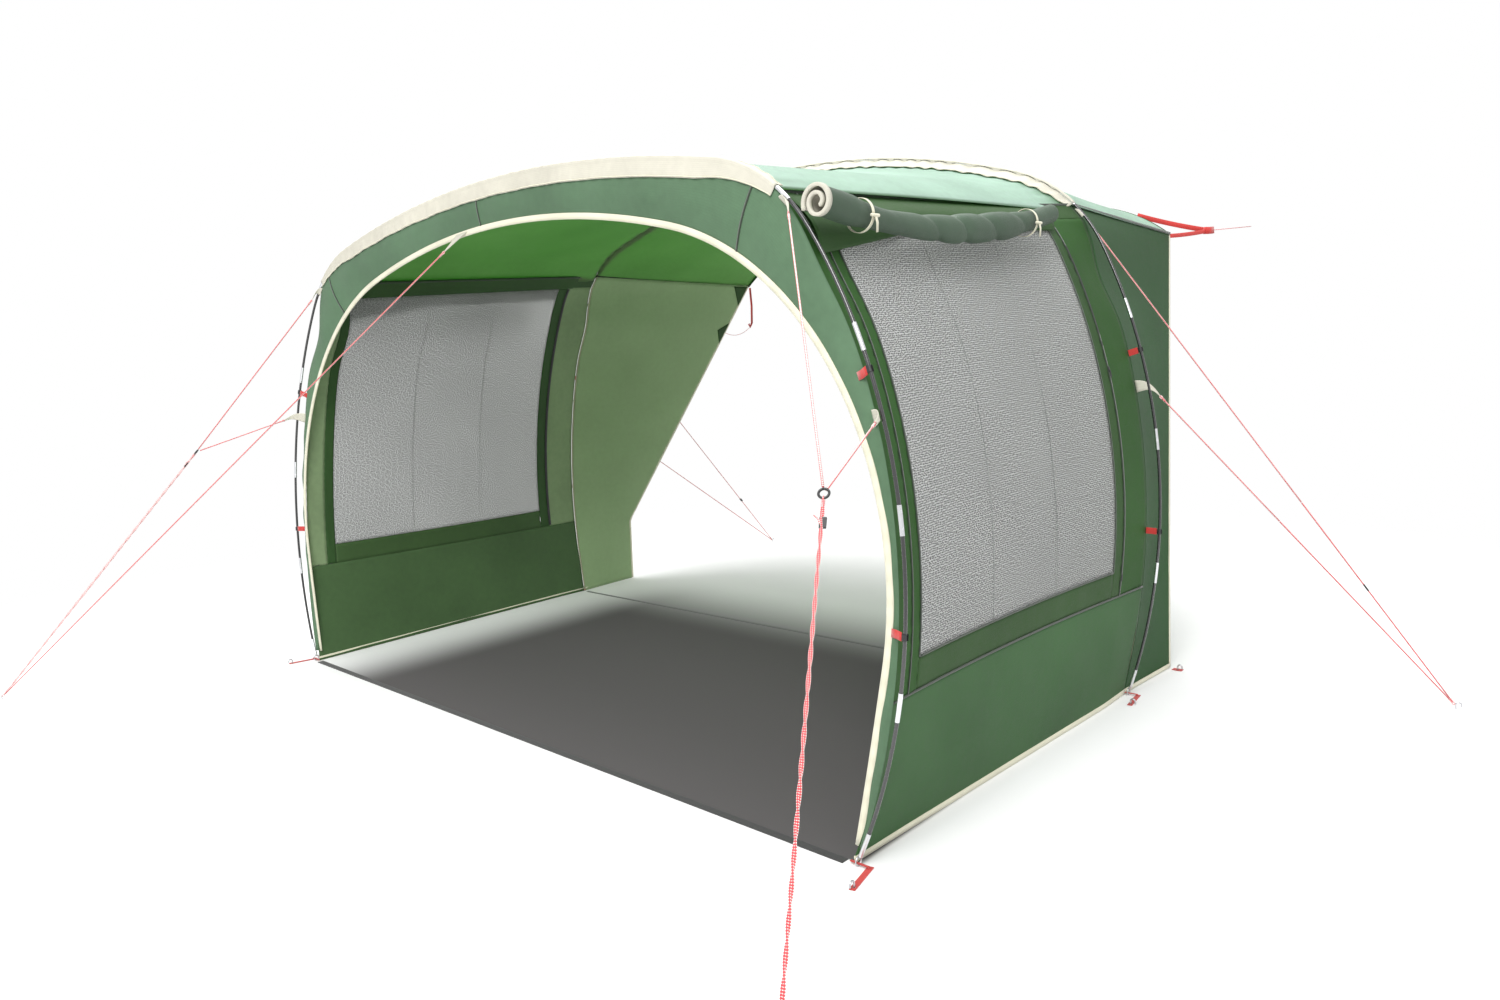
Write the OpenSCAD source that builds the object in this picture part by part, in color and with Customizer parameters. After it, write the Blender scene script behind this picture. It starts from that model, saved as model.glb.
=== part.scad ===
// Screen house: two pole arches carry a roof, two side walls with net windows and a rear hood.
// Origin on the ground midway between the front feet. X right seen from the front, Y rearwards, Z up.

/* [Front arch] */
// Height of the front pole at its middle
front_height = 2100; // [2050:10:2150]
// Lean of the front arch to the rear, in degrees
front_lean = 3.6; // [3.2:0.1:4]
// Crown radius of the front pole
front_crown_r = 5664; // [5500:10:5800]
// Sweep of half the front crown, in degrees
front_crown_a = 11.97; // [11.7:0.01:12.2]
// Shoulder radius of the front pole
front_shoulder_r = 591; // [570:1:610]
// Sweep of one front shoulder, in degrees
front_shoulder_a = 43.14; // [42.5:0.01:43.5]
// Leg radius of the front pole
front_leg_r = 1770; // [1740:10:1800]

/* [Rear arch] */
// Distance of the rear feet behind the front feet
rear_y = 1721; // [1700:1:1740]
// Height of the rear pole at its middle
rear_height = 2300; // [2280:10:2320]
// Lean of the rear arch to the rear, in degrees
rear_lean = 2.3; // [2:0.1:2.6]
// Crown radius of the rear pole
rear_crown_r = 3835; // [3780:5:3890]
// Sweep of half the rear crown, in degrees
rear_crown_a = 19.02; // [18.8:0.01:19.2]
// Shoulder radius of the rear pole
rear_shoulder_r = 642; // [630:1:655]
// Sweep of one rear shoulder, in degrees
rear_shoulder_a = 44.81; // [44.4:0.01:45.2]
// Leg radius of the rear pole
rear_leg_r = 2370; // [2340:10:2400]

/* [Poles] */
// Outer radius of the fibreglass pole
pole_r = 5.5; // [5:0.1:5.6]
// Bore radius of the pole
pole_bore_r = 2.5; // [2.2:0.1:3]
// Radius of the shock cord
cord_r = 1.5; // [1:0.1:1.8]
// Outer radius of a ferrule
ferrule_r = 6.5; // [6.2:0.1:6.7]
// Length of a ferrule
ferrule_l = 80; // [70:1:90]
// Pole sections in half an arch
sections = 7; // [7:1:8]
// Radius of a foot pin
pin_r = 3; // [2.5:0.1:3.2]

/* [Front opening] */
// Height of the opening's bound edge at the middle
opening_height = 1947; // [1930:1:1960]
// Crown radius of the bound edge
opening_crown_r = 3780; // [3700:10:3850]
// Sweep of half the bound edge's crown, in degrees
opening_crown_a = 14.61; // [14.4:0.01:14.8]
// Side radius of the bound edge
opening_side_r = 1132; // [1120:1:1140]
// Sweep of the bound edge's side, in degrees
opening_side_a = 84.45; // [84:0.01:84.8]

/* [Side walls] */
// Height of the roof seam at the front arch and at the rear arch
seam_z = [1852, 1930];
// Height of the lower panel at the front arch and at the rear arch
panel_z = [463, 442];
// Height of the window's lower edge at the front arch and at the rear arch
window_low = [560, 543];
// Height of the window's upper edge at the front arch and at the rear arch
window_high = [1780, 1870];
// Place of the zip along the wall, as a part of its length
zip_v = 0.88; // [0.87:0.005:0.89]
// Distance of the zip in front of the rear arch
zip_back = 200; // [190:1:210]
// Distance of the zip inside the rear pole's curve
zip_inset = 55; // [50:1:60]
// How far the wall is drawn in between the arches
wall_draw = 35; // [20:1:40]
// Thickness of the fabric
cloth = 2; // [1.6:0.1:2.4]

/* [Hood] */
// Corner of the hood on the ground
hood_foot = [1756, 2140, 0];
// Bend in the hood's free edge
hood_bend = [1750, 2147, 390];
// Top corner of the hood
hood_corner = [1410, 3050, 1895];
// Height of the hood's free edge at the middle
hood_crown_z = 2120; // [2100:1:2140]

/* [Window covers] */
// Radius of a rolled window cover
roll_r = 52; // [46:1:53]
// Front end of the right roll's centre line
roll_front = [1576, 105, 1798];
// Front end of the left roll's centre line, as if it were on the right
left_roll_front = [1581, 300, 1803];
// Rear end of each roll's centre line
roll_rear = [1606, 1385, 1846];
// Sag of the roll at its middle
roll_sag = 60; // [40:1:65]

/* [Guy lines] */
// Radius of a guy line
line_r = 2; // [1.5:0.1:2.2]
// Ring where the front right lines meet
front_ring = [1930, -360, 1094];
// Foot of the front right guy line
front_guy_peg = [2400, -1180, 0];
// Foot of the rear left guy line
rear_left_guy_peg = [-1780, 3575, 0];
// Foot of the rear right guy line
rear_right_guy_peg = [2750, 2220, 0];
// Length of the lower part of a rear guy line
rear_tail_l = 900; // [850:10:950]

/* [Pegs] */
// Radius of a peg's wire
peg_r = 3; // [2.5:0.1:3.5]
// Length of a peg in the ground
peg_l = 190; // [170:5:200]

/* [Hidden] */
$fn = 48;
olive = [0.23, 0.30, 0.22];
green = [0.36, 0.44, 0.36];
cream = [0.80, 0.76, 0.62];
red = [0.62, 0.13, 0.10];
black = [0.05, 0.05, 0.05];
silver = [0.72, 0.73, 0.75];
net = [0.55, 0.57, 0.56];

// Arcs of half an arch from the middle down: [centre, radius, first angle, last angle].
// An angle is measured from straight up, and the last arc ends on the ground.
function arch(h, crown_r, crown_a, shoulder_r, shoulder_a, leg_r) =
    let (c0 = [0, h - crown_r],
         up0 = [sin(crown_a), cos(crown_a)],
         c1 = c0 + (crown_r - shoulder_r) * up0,
         a2 = crown_a + shoulder_a,
         c2 = c1 + (shoulder_r - leg_r) * [sin(a2), cos(a2)])
    [[c0, crown_r, 0, crown_a], [c1, shoulder_r, crown_a, a2],
     [c2, leg_r, a2, acos(-c2.y / leg_r)]];
front_arc = arch(front_height / cos(front_lean), front_crown_r, front_crown_a,
                 front_shoulder_r, front_shoulder_a, front_leg_r);
rear_arc = arch(rear_height / cos(rear_lean), rear_crown_r, rear_crown_a,
                rear_shoulder_r, rear_shoulder_a, rear_leg_r);
straight_r = 20000;
opening_arc = arch(opening_height / cos(front_lean), opening_crown_r, opening_crown_a,
                   opening_side_r, opening_side_a, straight_r);

// Length of one arc, and of half an arch
function arc_l(a) = a[1] * (a[3] - a[2]) * PI / 180;
function half_l(arcs) = arc_l(arcs[0]) + arc_l(arcs[1]) + arc_l(arcs[2]);
// Distance from the middle at which arc i starts
function start_l(arcs, i) = i == 0 ? 0 : start_l(arcs, i - 1) + arc_l(arcs[i - 1]);
// Angle on arc i at distance s from the middle
function angle_at(arcs, i, s) = arcs[i][2] + (s - start_l(arcs, i)) / arcs[i][1] * 180 / PI;
function arc_index(arcs, s) = s < start_l(arcs, 1) ? 0 : s < start_l(arcs, 2) ? 1 : 2;
// Point in the arch's plane at distance s from the middle, moved in by inset
function arc_point(arcs, s, inset = 0) =
    let (i = arc_index(arcs, abs(s)), a = angle_at(arcs, i, abs(s)), c = arcs[i][0])
    [(s < 0 ? -1 : 1) * (c.x + (arcs[i][1] - inset) * sin(a)), c.y + (arcs[i][1] - inset) * cos(a)];
// Half width of the arch at height z in its plane, below the crown
function arch_x(arcs, z, inset = 0) =
    let (i = z > arcs[1][0].y + (arcs[1][1] - inset) * cos(arcs[1][3]) ? 1 : 2, c = arcs[i][0])
    c.x + sqrt(pow(arcs[i][1] - inset, 2) - pow(z - c.y, 2));
// Point in space of a point in a leaning plane, moved out of that plane by off
function lift(p, y0, lean, off = 0) =
    [p.x, y0 + p.y * sin(lean) + off * cos(lean), p.y * cos(lean) - off * sin(lean)];
function front_at(s, inset = 0, off = 0) = lift(arc_point(front_arc, s, inset), 0, front_lean, off);
function rear_at(s, inset = 0, off = 0) =
    lift(arc_point(rear_arc, s, inset), rear_y, rear_lean, off);
function mix(a, b, t) = a * (1 - t) + b * t;
function mirrored(p) = [-p.x, p.y, p.z];
function unit(v) = v / norm(v);

front_l = half_l(front_arc);
rear_l = half_l(rear_arc);
front_sleeve_l = 1460;
rear_sleeve_l = 1575;
foot_ring_r = 12;
foot_ring_wire = 2.5;
foot_ring_s = 16;
wing = 35;
seam_gap = 37;

module in_front() rotate([-front_lean, 0, 0]) children();
module in_rear() translate([0, rear_y, 0]) rotate([-rear_lean, 0, 0]) children();
module both() {
    children();
    mirror([1, 0, 0]) children();
}
// Sweeps a flat section round one arc between two angles
module arc_sweep(a, a0, a1)
    translate([a[0].x, 0, a[0].y]) rotate([90, 0, 0]) rotate([0, 0, 90 - a1])
        rotate_extrude(angle = a1 - a0, $fn = 720) translate([a[1], 0]) children();
// Hairline gap where two arcs of one sweep meet
joint_gap = 0.05;
// Sweeps a flat section along one side of an arch between two distances
module along(arcs, s0, s1)
    for (i = [0:2]) {
        lo = max(s0, start_l(arcs, i) + joint_gap);
        hi = min(s1, start_l(arcs, i) + arc_l(arcs[i]) - joint_gap);
        if (hi > lo + 1)
            arc_sweep(arcs[i], angle_at(arcs, i, lo), angle_at(arcs, i, hi)) children();
    }
// Sweeps a flat section over the middle to distance s on both sides
module over(arcs, s) {
    arc_sweep(arcs[0], -arcs[0][3], arcs[0][3]) children();
    both() along(arcs, start_l(arcs, 1), s) children();
}
// Closed sheet of cloth from a grid of points on its middle surface; d is half its thickness
module sheet(grid, d) {
    nu = len(grid) - 1;
    nv = len(grid[0]) - 1;
    top = [for (row = grid) for (p = row) p + d];
    low = [for (row = grid) for (p = row) p - d];
    n = len(top);
    turn = cross(grid[1][0] - grid[0][0], grid[0][1] - grid[0][0]) * d > 0;
    function at(i, j) = i * (nv + 1) + j;
    function quad(a, b, c, e) = [[a, b, c], [a, c, e]];
    tops = [for (i = [0:nu - 1]) for (j = [0:nv - 1])
        each quad(at(i, j), at(i, j + 1), at(i + 1, j + 1), at(i + 1, j))];
    lows = [for (f = tops) [n + f[0], n + f[2], n + f[1]]];
    ends = [for (j = [0:nv - 1]) each concat(
        quad(n + at(0, j), n + at(0, j + 1), at(0, j + 1), at(0, j)),
        quad(at(nu, j), at(nu, j + 1), n + at(nu, j + 1), n + at(nu, j)))];
    sides = [for (i = [0:nu - 1]) each concat(
        quad(at(i, 0), at(i + 1, 0), n + at(i + 1, 0), n + at(i, 0)),
        quad(at(i + 1, nv), at(i, nv), n + at(i, nv), n + at(i + 1, nv)))];
    faces = concat(tops, lows, ends, sides);
    polyhedron(concat(top, low), turn ? faces : [for (f = faces) [f[0], f[2], f[1]]]);
}
// Turns +Z towards direction d and moves to point p
module aim(p, d)
    translate(p) rotate([0, acos(d.z / norm(d)), atan2(d.y, d.x)]) children();
// Round line between two points, with a gap left at each end
module line(a, b, gap_a = 0, gap_b = 0, r = line_r)
    aim(a + unit(b - a) * gap_a, b - a) cylinder(h = norm(b - a) - gap_a - gap_b, r = r, $fn = 24);
// Flat strap between two points
module strap(a, b, width, thick = 2)
    aim(a, b - a) translate([0, 0, norm(b - a) / 2]) cube([thick, width, norm(b - a)], center = true);

// Round of a swept section
module disc(r) circle(r = r, $fn = 32);

// ---- Pole arches ----
module tube_section() difference() {
    disc(pole_r);
    disc(pole_bore_r);
}
tip_low = 34;
tip_mid = 72;
tip_high = 112;
function pitch(l) = l / sections;
module pole(arcs, l)
    both() for (k = [0:sections - 1])
        along(arcs, k * pitch(l) + 0.5, min((k + 1) * pitch(l) - 0.5, l - tip_mid)) tube_section();
module ferrules(arcs, l) {
    half = ferrule_l / 2;
    half_a = half / arcs[0][1] * 180 / PI;
    arc_sweep(arcs[0], -half_a, half_a) ferrule_section();
    both() {
        for (k = [1:sections - 1])
            along(arcs, k * pitch(l) - half, k * pitch(l) + half) ferrule_section();
        along(arcs, l - tip_high, l - tip_mid + 1) ferrule_section();
        along(arcs, l - tip_mid + 1 + joint_gap, l - tip_low) difference() {
            disc(ferrule_r);
            disc(pin_r + 0.05);
        }
    }
}
module ferrule_section() difference() {
    disc(ferrule_r);
    disc(pole_r + 0.05);
}
module foot_pins(arcs, l) both() {
    along(arcs, l - tip_mid + 3, l - foot_ring_s - foot_ring_r) disc(pin_r);
    p = arc_point(arcs, l - foot_ring_s);
    translate([p.x, 0, p.y]) rotate([0, 90, 0])
        rotate_extrude() translate([foot_ring_r, 0]) disc(foot_ring_wire);
}
module front_pole() color(black) in_front() pole(front_arc, front_l);
module rear_pole() color(black) in_rear() pole(rear_arc, rear_l);
module front_ferrules() color(silver) in_front() ferrules(front_arc, front_l);
module rear_ferrules() color(silver) in_rear() ferrules(rear_arc, rear_l);
module front_shock_cord() color(cream) in_front() over(front_arc, front_l - tip_mid) disc(cord_r);
module rear_shock_cord() color(cream) in_rear() over(rear_arc, rear_l - tip_mid) disc(cord_r);
module front_foot_pins() color(silver) in_front() foot_pins(front_arc, front_l);
module rear_foot_pins() color(silver) in_rear() foot_pins(rear_arc, rear_l);

// ---- Sleeves, fascia and bound edge ----
sleeve_bore_r = 7;
module sleeve_section() difference() {
    union() {
        disc(sleeve_bore_r + 1.5);
        translate([-sleeve_bore_r - 0.5, 0]) square([2, 2 * wing], center = true);
    }
    disc(sleeve_bore_r);
}
module front_sleeve() color(cream) in_front() over(front_arc, front_sleeve_l) sleeve_section();
module rear_sleeve() color(cream) in_rear() over(rear_arc, rear_sleeve_l) sleeve_section();

// How far the cloth edge is drawn in from the pole at height z, and set back behind the front pole
function edge_inset(z) =
    13 + 40 * pow(sin(180 * min(z, seam_z[0]) / seam_z[0]), 0.6) + 25 * exp(-pow((z - 1640) / 130, 2));
edge_gap = 12;
function set_back(z) = edge_gap + 0.7 * (edge_inset(z) - 13);
opening_back = 20;
// The wall starts behind the binding
binding_clear = opening_back + 4;
fascia_steps = 48;
fascia_end = 0.985;
module front_fascia() {
    opening_l = half_l(opening_arc);
    function edge(arcs, l, u, inset, off) =
        lift(arc_point(arcs, u * l * fascia_end, inset), 0, front_lean, off);
    function outer(u, b) =
        let (a = edge(front_arc, front_l, u, 11, 0), draw = (edge_inset(a.z) - 13) / 40)
        edge(front_arc, front_l, u, 11 + min(27, norm(b - a) / 2) * draw, set_back(a.z) - 10);
    grid = [for (i = [0:fascia_steps]) let (u = 2 * i / fascia_steps - 1,
            b = edge(opening_arc, opening_l, u, -5, opening_back), a = outer(u, b))
        [for (j = [0:3]) mix(a, b, j / 3)]];
    color(olive) sheet(grid, [0, cloth / 2, 0]);
}
module front_binding() color(cream) in_front() translate([0, opening_back, 0])
    over(opening_arc, half_l(opening_arc) * fascia_end)
        translate([-4, 0]) square([14, 4], center = true);

// ---- Side walls ----
function zip_in(z) = z > panel_z[1] ? zip_inset : mix(12, zip_inset, z / panel_z[1]);
// Edge of the wall at the front arch, at the zip line and at the rear arch, at height z
function front_edge(z) =
    [arch_x(front_arc, z / cos(front_lean), edge_inset(z)),
        z * tan(front_lean) + max(binding_clear, set_back(z)), z];
function rear_edge(z) =
    [arch_x(rear_arc, z / cos(rear_lean), edge_inset(z)), rear_y + z * tan(rear_lean) - edge_gap, z];
function zip_line(z) =
    [arch_x(rear_arc, z / cos(rear_lean), zip_in(z)), rear_y + z * tan(rear_lean) - zip_back, z];
// Point of the right wall at height z and at part v of its length
function wall_at(z, v) = v > zip_v
    ? mix(zip_line(z), rear_edge(z), (v - zip_v) / (1 - zip_v))
    : let (w = v / zip_v, draw = wall_draw * sin(180 * min(z, seam_z[0]) / seam_z[0]))
      mix(front_edge(z), zip_line(z), w) - [4 * w * (1 - w) * draw, 0, 0];
// Piece of the right wall between two lengths and two heights given at the front and the rear
module wall_patch(v0, v1, low, high, nu, nv)
    sheet([for (i = [0:nu]) let (v = mix(v0, v1, i / nu))
        [for (j = [0:nv]) wall_at(mix(mix(low[0], low[1], v), mix(high[0], high[1], v), j / nv), v)]],
        [cloth / 2, 0, 0]);
gap = [3, 3];
border_front = 0.08;
border_rear = 0.84;
border_end = 0.87;
module right_window_mesh() color(net)
    wall_patch(border_front + 0.002, border_rear - 0.002, window_low + gap, window_high - gap, 10, 14);
module right_window_border() color(olive) {
    wall_patch(0, border_front, panel_z + gap, seam_z - 2 * gap, 2, 16);
    wall_patch(border_rear, border_end, panel_z + gap, window_high, 2, 14);
    wall_patch(border_front + 0.002, border_rear - 0.002, panel_z + gap, window_low, 10, 1);
    wall_patch(border_front + 0.002, 1, window_high + gap, seam_z - 2 * gap, 12, 4);
}
module right_lower_panel() color(olive) wall_patch(0, 1, [3, 3], panel_z, 16, 6);
module left_window_mesh() mirror([1, 0, 0]) right_window_mesh();
module left_window_border() mirror([1, 0, 0]) right_window_border();
module left_lower_panel() mirror([1, 0, 0]) right_lower_panel();

// ---- Zips on the rear leg's arc ----
zip_top_z = 1745;
strip_top_z = 1840;
leg = rear_arc[2];
leg_zip = [leg[0], leg[1] - zip_inset, leg[2], leg[3]];
// Angle on the zip's arc at height z
function zip_angle(z) = acos((z / cos(rear_lean) - leg[0].y) / leg_zip[1]);
module on_zip() in_rear() translate([0, -zip_back, 0]) children();
module zip_strips() color(green) both()
    sheet([for (i = [0:4]) [for (j = [0:14])
        let (z = mix(panel_z[1] + 12, strip_top_z, j / 14), a = zip_line(z), b = rear_edge(z))
        mix(a + [0, 10, 0], b, i / 4)]], [cloth / 2, 0, 0]);
module zip_teeth() color(black) both() on_zip()
    arc_sweep(leg_zip, zip_angle(zip_top_z), zip_angle(panel_z[1] + 10)) square([2.5, 6], center = true);
slider_l = 20;
module slider(z) {
    half_a = slider_l / 2 / leg_zip[1] * 180 / PI;
    a = zip_angle(z);
    color(black) on_zip() {
        arc_sweep(leg_zip, a - half_a, a + half_a) difference() {
            square([8, 11], center = true);
            square([3.4, 7], center = true);
        }
        arc_sweep(leg_zip, a + half_a / 2, a + 3 * half_a) translate([5, 0]) square([2.2, 6], center = true);
    }
}
upper_slider_z = 1280;
lower_slider_z = 525;
module right_upper_slider() slider(upper_slider_z);
module right_lower_slider() slider(lower_slider_z);
module left_upper_slider() mirror([1, 0, 0]) slider(upper_slider_z);
module left_lower_slider() mirror([1, 0, 0]) slider(lower_slider_z);

// ---- Roof and hood ----
roof_sag = 35;
module roof() color(green)
    sheet([for (i = [0:24]) let (u = i / 12 - 1,
            a = front_at(u * front_sleeve_l, 7, seam_gap), b = rear_at(u * rear_sleeve_l, 7, -seam_gap))
        [for (j = [0:6]) let (v = j / 6) mix(a, b, v) - [0, 0, roof_sag * 4 * v * (1 - v) * (1 - u * u)]]],
        [0, 0, cloth / 2]);
edge_power = 5.3;
hood_sag = 45;
function hood_edge(z) = z < hood_bend.z
    ? mix(hood_foot, hood_bend, z / hood_bend.z)
    : mix(hood_bend, hood_corner, (z - hood_bend.z) / (hood_corner.z - hood_bend.z));
module hood_roof() color(green)
    sheet([for (i = [0:24]) let (u = i / 12 - 1, a = rear_at(u * rear_sleeve_l, 7, seam_gap),
            rise = (hood_crown_z - hood_corner.z) * (1 - pow(abs(u), edge_power)),
            b = [u * hood_corner.x, hood_corner.y, hood_corner.z + rise])
        [for (j = [0:5]) let (v = j / 5) mix(a, b, v) - [0, 0, hood_sag * 4 * v * (1 - v) * (1 - u * u)]]],
        [0, 0, cloth / 2]);
hood_draw = 30;
hood_top_gap = 8;
function hood_front(z) =
    [arch_x(rear_arc, z / cos(rear_lean), edge_inset(z)), rear_y + z * tan(rear_lean) + edge_gap, z];
module right_hood_side() color(green)
    sheet([for (i = [0:6]) [for (j = [0:14]) let (w = i / 6, t = j / 14,
            a = hood_front(mix(3, seam_z[1] - hood_top_gap, t)),
            b = hood_edge(mix(3, hood_corner.z - hood_top_gap, t)))
        mix(a, b, w) - [hood_draw * 4 * w * (1 - w) * pow(sin(180 * t), 0.7), 0, 0]]], [cloth / 2, 0, 0]);
module left_hood_side() mirror([1, 0, 0]) right_hood_side();
yoke = [1519, 3280, 1911];
yoke_cord_end = [1620, 3600, 1937];
slack_top = [-1404, 3064, 1880];
slack_end = [-1404, 3064, 1630];
slack_tie = [-1500, 2850, 1600];
module hood_straps() color(red) {
    for (p = [[1255, 3060, 2003], [1417, 3060, 1885]]) strap(p, yoke, 18);
    line(yoke, yoke_cord_end);
    strap(slack_top, slack_end, 18);
    line(slack_end, slack_tie, 2, 30);
}

// ---- Rolled window covers ----
roll_steps = 12;
roll_sides = 16;
function roll_at(t, front = roll_front) =
    mix(front, roll_rear, t) - [0, 0, roll_sag * 4 * t * (1 - t)];
module cover_roll(front) {
    rings = [for (i = [0:roll_steps]) for (k = [0:roll_sides - 1])
        roll_at(i / roll_steps, front) + roll_r * [cos(360 * k / roll_sides), 0, sin(360 * k / roll_sides)]];
    function at(i, k) = i * roll_sides + k % roll_sides;
    walls = [for (i = [0:roll_steps - 1]) for (k = [0:roll_sides - 1])
        each [[at(i, k), at(i, k + 1), at(i + 1, k + 1)], [at(i, k), at(i + 1, k + 1), at(i + 1, k)]]];
    first = [for (k = [roll_sides - 1:-1:0]) at(0, k)];
    last = [for (k = [0:roll_sides - 1]) at(roll_steps, k)];
    color(olive) polyhedron(rings, concat(walls, [first, last]));
}
module right_cover_roll() cover_roll(roll_front);
module left_cover_roll() mirror([1, 0, 0]) cover_roll(left_roll_front);
tie_w = 20;
toggle_r = 5;
module cover_ties() color(cream) {
    ties(roll_front);
    mirror([1, 0, 0]) ties(left_roll_front);
}
module ties(front) for (t = [0.14, 0.86])
    translate(roll_at(t, front)) rotate([90, 0, 0]) {
        rotate_extrude() translate([roll_r + 4, 0]) square([2, tie_w], center = true);
        translate([roll_r + toggle_r + 4, 0, 0]) cylinder(h = 40, r = toggle_r, center = true);
    }

// ---- Clips, straps and guy tabs on the poles ----
clip_z = [1354, 662];
clip_out_r = 9;
clip_l = 18;
// Distance from the middle at which the leg passes height z
function s_at(arcs, z) =
    start_l(arcs, 2) + (acos((z - arcs[2][0].y) / arcs[2][1]) - arcs[2][2]) * arcs[2][1] * PI / 180;
module clips(arcs) both() for (z = clip_z) {
    s = s_at(arcs, z);
    along(arcs, s - clip_l / 2, s + clip_l / 2) difference() {
        disc(clip_out_r);
        disc(pole_r + 0.1);
        translate([clip_out_r, 0]) square([clip_out_r, 2 * pole_r - 3], center = true);
    }
}
// Straps of length l from the clips to the cloth, turned to the rear
module clip_straps(arcs, turn, l) both() for (z = clip_z) {
    s = s_at(arcs, z);
    along(arcs, s - 12, s + 12) rotate(180 + turn) translate([clip_out_r + 1, -1]) square([l, 2]);
}
module front_clips() color(black) in_front() clips(front_arc);
module rear_clips() color(black) in_rear() clips(rear_arc);
module front_clip_straps() color(red) in_front() clip_straps(front_arc, 38, 28);
module rear_clip_straps() color(red) in_rear() clip_straps(rear_arc, 0, 40);

front_shoulder_s = 1508;
front_lower_s = s_at(front_arc, 1238);
rear_shoulder_s = 1620;
rear_lower_s = s_at(rear_arc, 1224);
// The left upper line starts lower, so that it passes outside the hood
left_shoulder_s = 1740;
front_shoulder = front_at(front_shoulder_s);
front_lower = front_at(front_lower_s);
rear_shoulder = rear_at(rear_shoulder_s);
rear_lower = rear_at(rear_lower_s);
left_shoulder = mirrored(rear_at(left_shoulder_s));
centre_tab = [-220, 139, 1936];
tab_gap = 7.5;
tab_l = 60;
// Directions of the poles at distance s from the middle
function front_run(s) = unit(front_at(s + 1) - front_at(s - 1));
function rear_run(s) = unit(rear_at(s + 1) - rear_at(s - 1));
// Triangular tab with its base along direction run at point p and its tip towards q
module tab(p, run, q, length = tab_l, half = 22) {
    d = unit(q - p);
    out = unit(d - (d * run) * run);
    base = p + out * tab_gap;
    tip = p + d * (length + tab_gap);
    sheet([[base - half * run, tip - 3 * run], [base + half * run, tip + 3 * run]], cross(run, out));
}
front_left_guy_peg_at = mirrored(front_guy_peg);
module front_guy_tabs() color(cream) {
    both() {
        tab(front_shoulder, front_run(front_shoulder_s), front_ring);
        tab(front_lower, front_run(front_lower_s), front_ring);
    }
    tab(centre_tab, [1, 0, 0], front_left_guy_peg_at, 100, 38);
}
module rear_guy_tabs() color(cream) {
    tab(rear_shoulder, rear_run(rear_shoulder_s), rear_right_guy_peg);
    tab(rear_lower, rear_run(rear_lower_s), rear_right_guy_peg);
    tab(left_shoulder, mirrored(rear_run(left_shoulder_s)), rear_left_guy_peg);
    tab(mirrored(rear_lower), mirrored(rear_run(rear_lower_s)), rear_left_guy_peg);
}

// ---- Guy lines ----
line_start = tab_gap + tab_l + 3;
ring_r = 12;
ring_wire = 3;
knot = [0, 0, 10];
knot_gap = 16;
module upper_guy_lines() color(red) {
    both() {
        line(front_shoulder, front_ring, line_start, ring_r + ring_wire + 3);
        line(front_lower, front_ring, line_start, ring_r + ring_wire + 3);
    }
    line(centre_tab, front_left_guy_peg_at + knot, tab_gap + 103, 60);
    rear_upper(rear_shoulder, rear_right_guy_peg);
    rear_upper(rear_lower, rear_right_guy_peg);
    rear_upper(left_shoulder, rear_left_guy_peg);
    rear_upper(mirrored(rear_lower), rear_left_guy_peg);
}
module rear_upper(p, peg) line(p, peg + knot, line_start, rear_tail_l + 4);
module front_right_tail() color(red) {
    line(front_guy_peg + knot, front_ring, knot_gap, ring_r);
    aim(front_ring, cross(front_shoulder - front_ring, front_guy_peg - front_ring))
        rotate_extrude() translate([ring_r, 0]) circle(r = ring_wire);
}
module front_left_tail() mirror([1, 0, 0]) front_right_tail();
module rear_tail(peg, shoulder, lower) color(red)
    for (p = [shoulder, lower])
        line(peg + knot, p, knot_gap, norm(p - peg - knot) - rear_tail_l);
module rear_left_tail() rear_tail(rear_left_guy_peg, left_shoulder, mirrored(rear_lower));
module rear_right_tail() rear_tail(rear_right_guy_peg, rear_shoulder, rear_lower);

runner_l = 26;
// Runner on the line from p to q, its middle at distance s from p
module runner(p, q, s) color(black)
    aim(p + unit(q - p) * s, q - p) difference() {
        translate([0, 3, 0]) cube([6, 16, runner_l], center = true);
        cylinder(h = runner_l + 2, r = line_r + 0.1, center = true, $fn = 24);
        translate([0, 6.5, 0]) cylinder(h = runner_l + 2, r = line_r + 0.1, center = true, $fn = 24);
    }
front_runner_s = 75;
rear_runner_s = 520;
module front_right_runner() runner(front_ring, front_guy_peg + knot, front_runner_s);
module front_left_runner() mirror([1, 0, 0]) front_right_runner();
module rear_left_runner() runner(rear_left_guy_peg + knot, left_shoulder, rear_runner_s);
module rear_right_runner() runner(rear_right_guy_peg + knot, rear_shoulder, rear_runner_s);

// ---- Ground fittings ----
foot_peg = [1763, -97, 0];
rear_foot_peg = [1800, rear_y - 100, 0];
hood_peg = [1795, 2128, 0];
peg_hole_r = 5;
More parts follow.
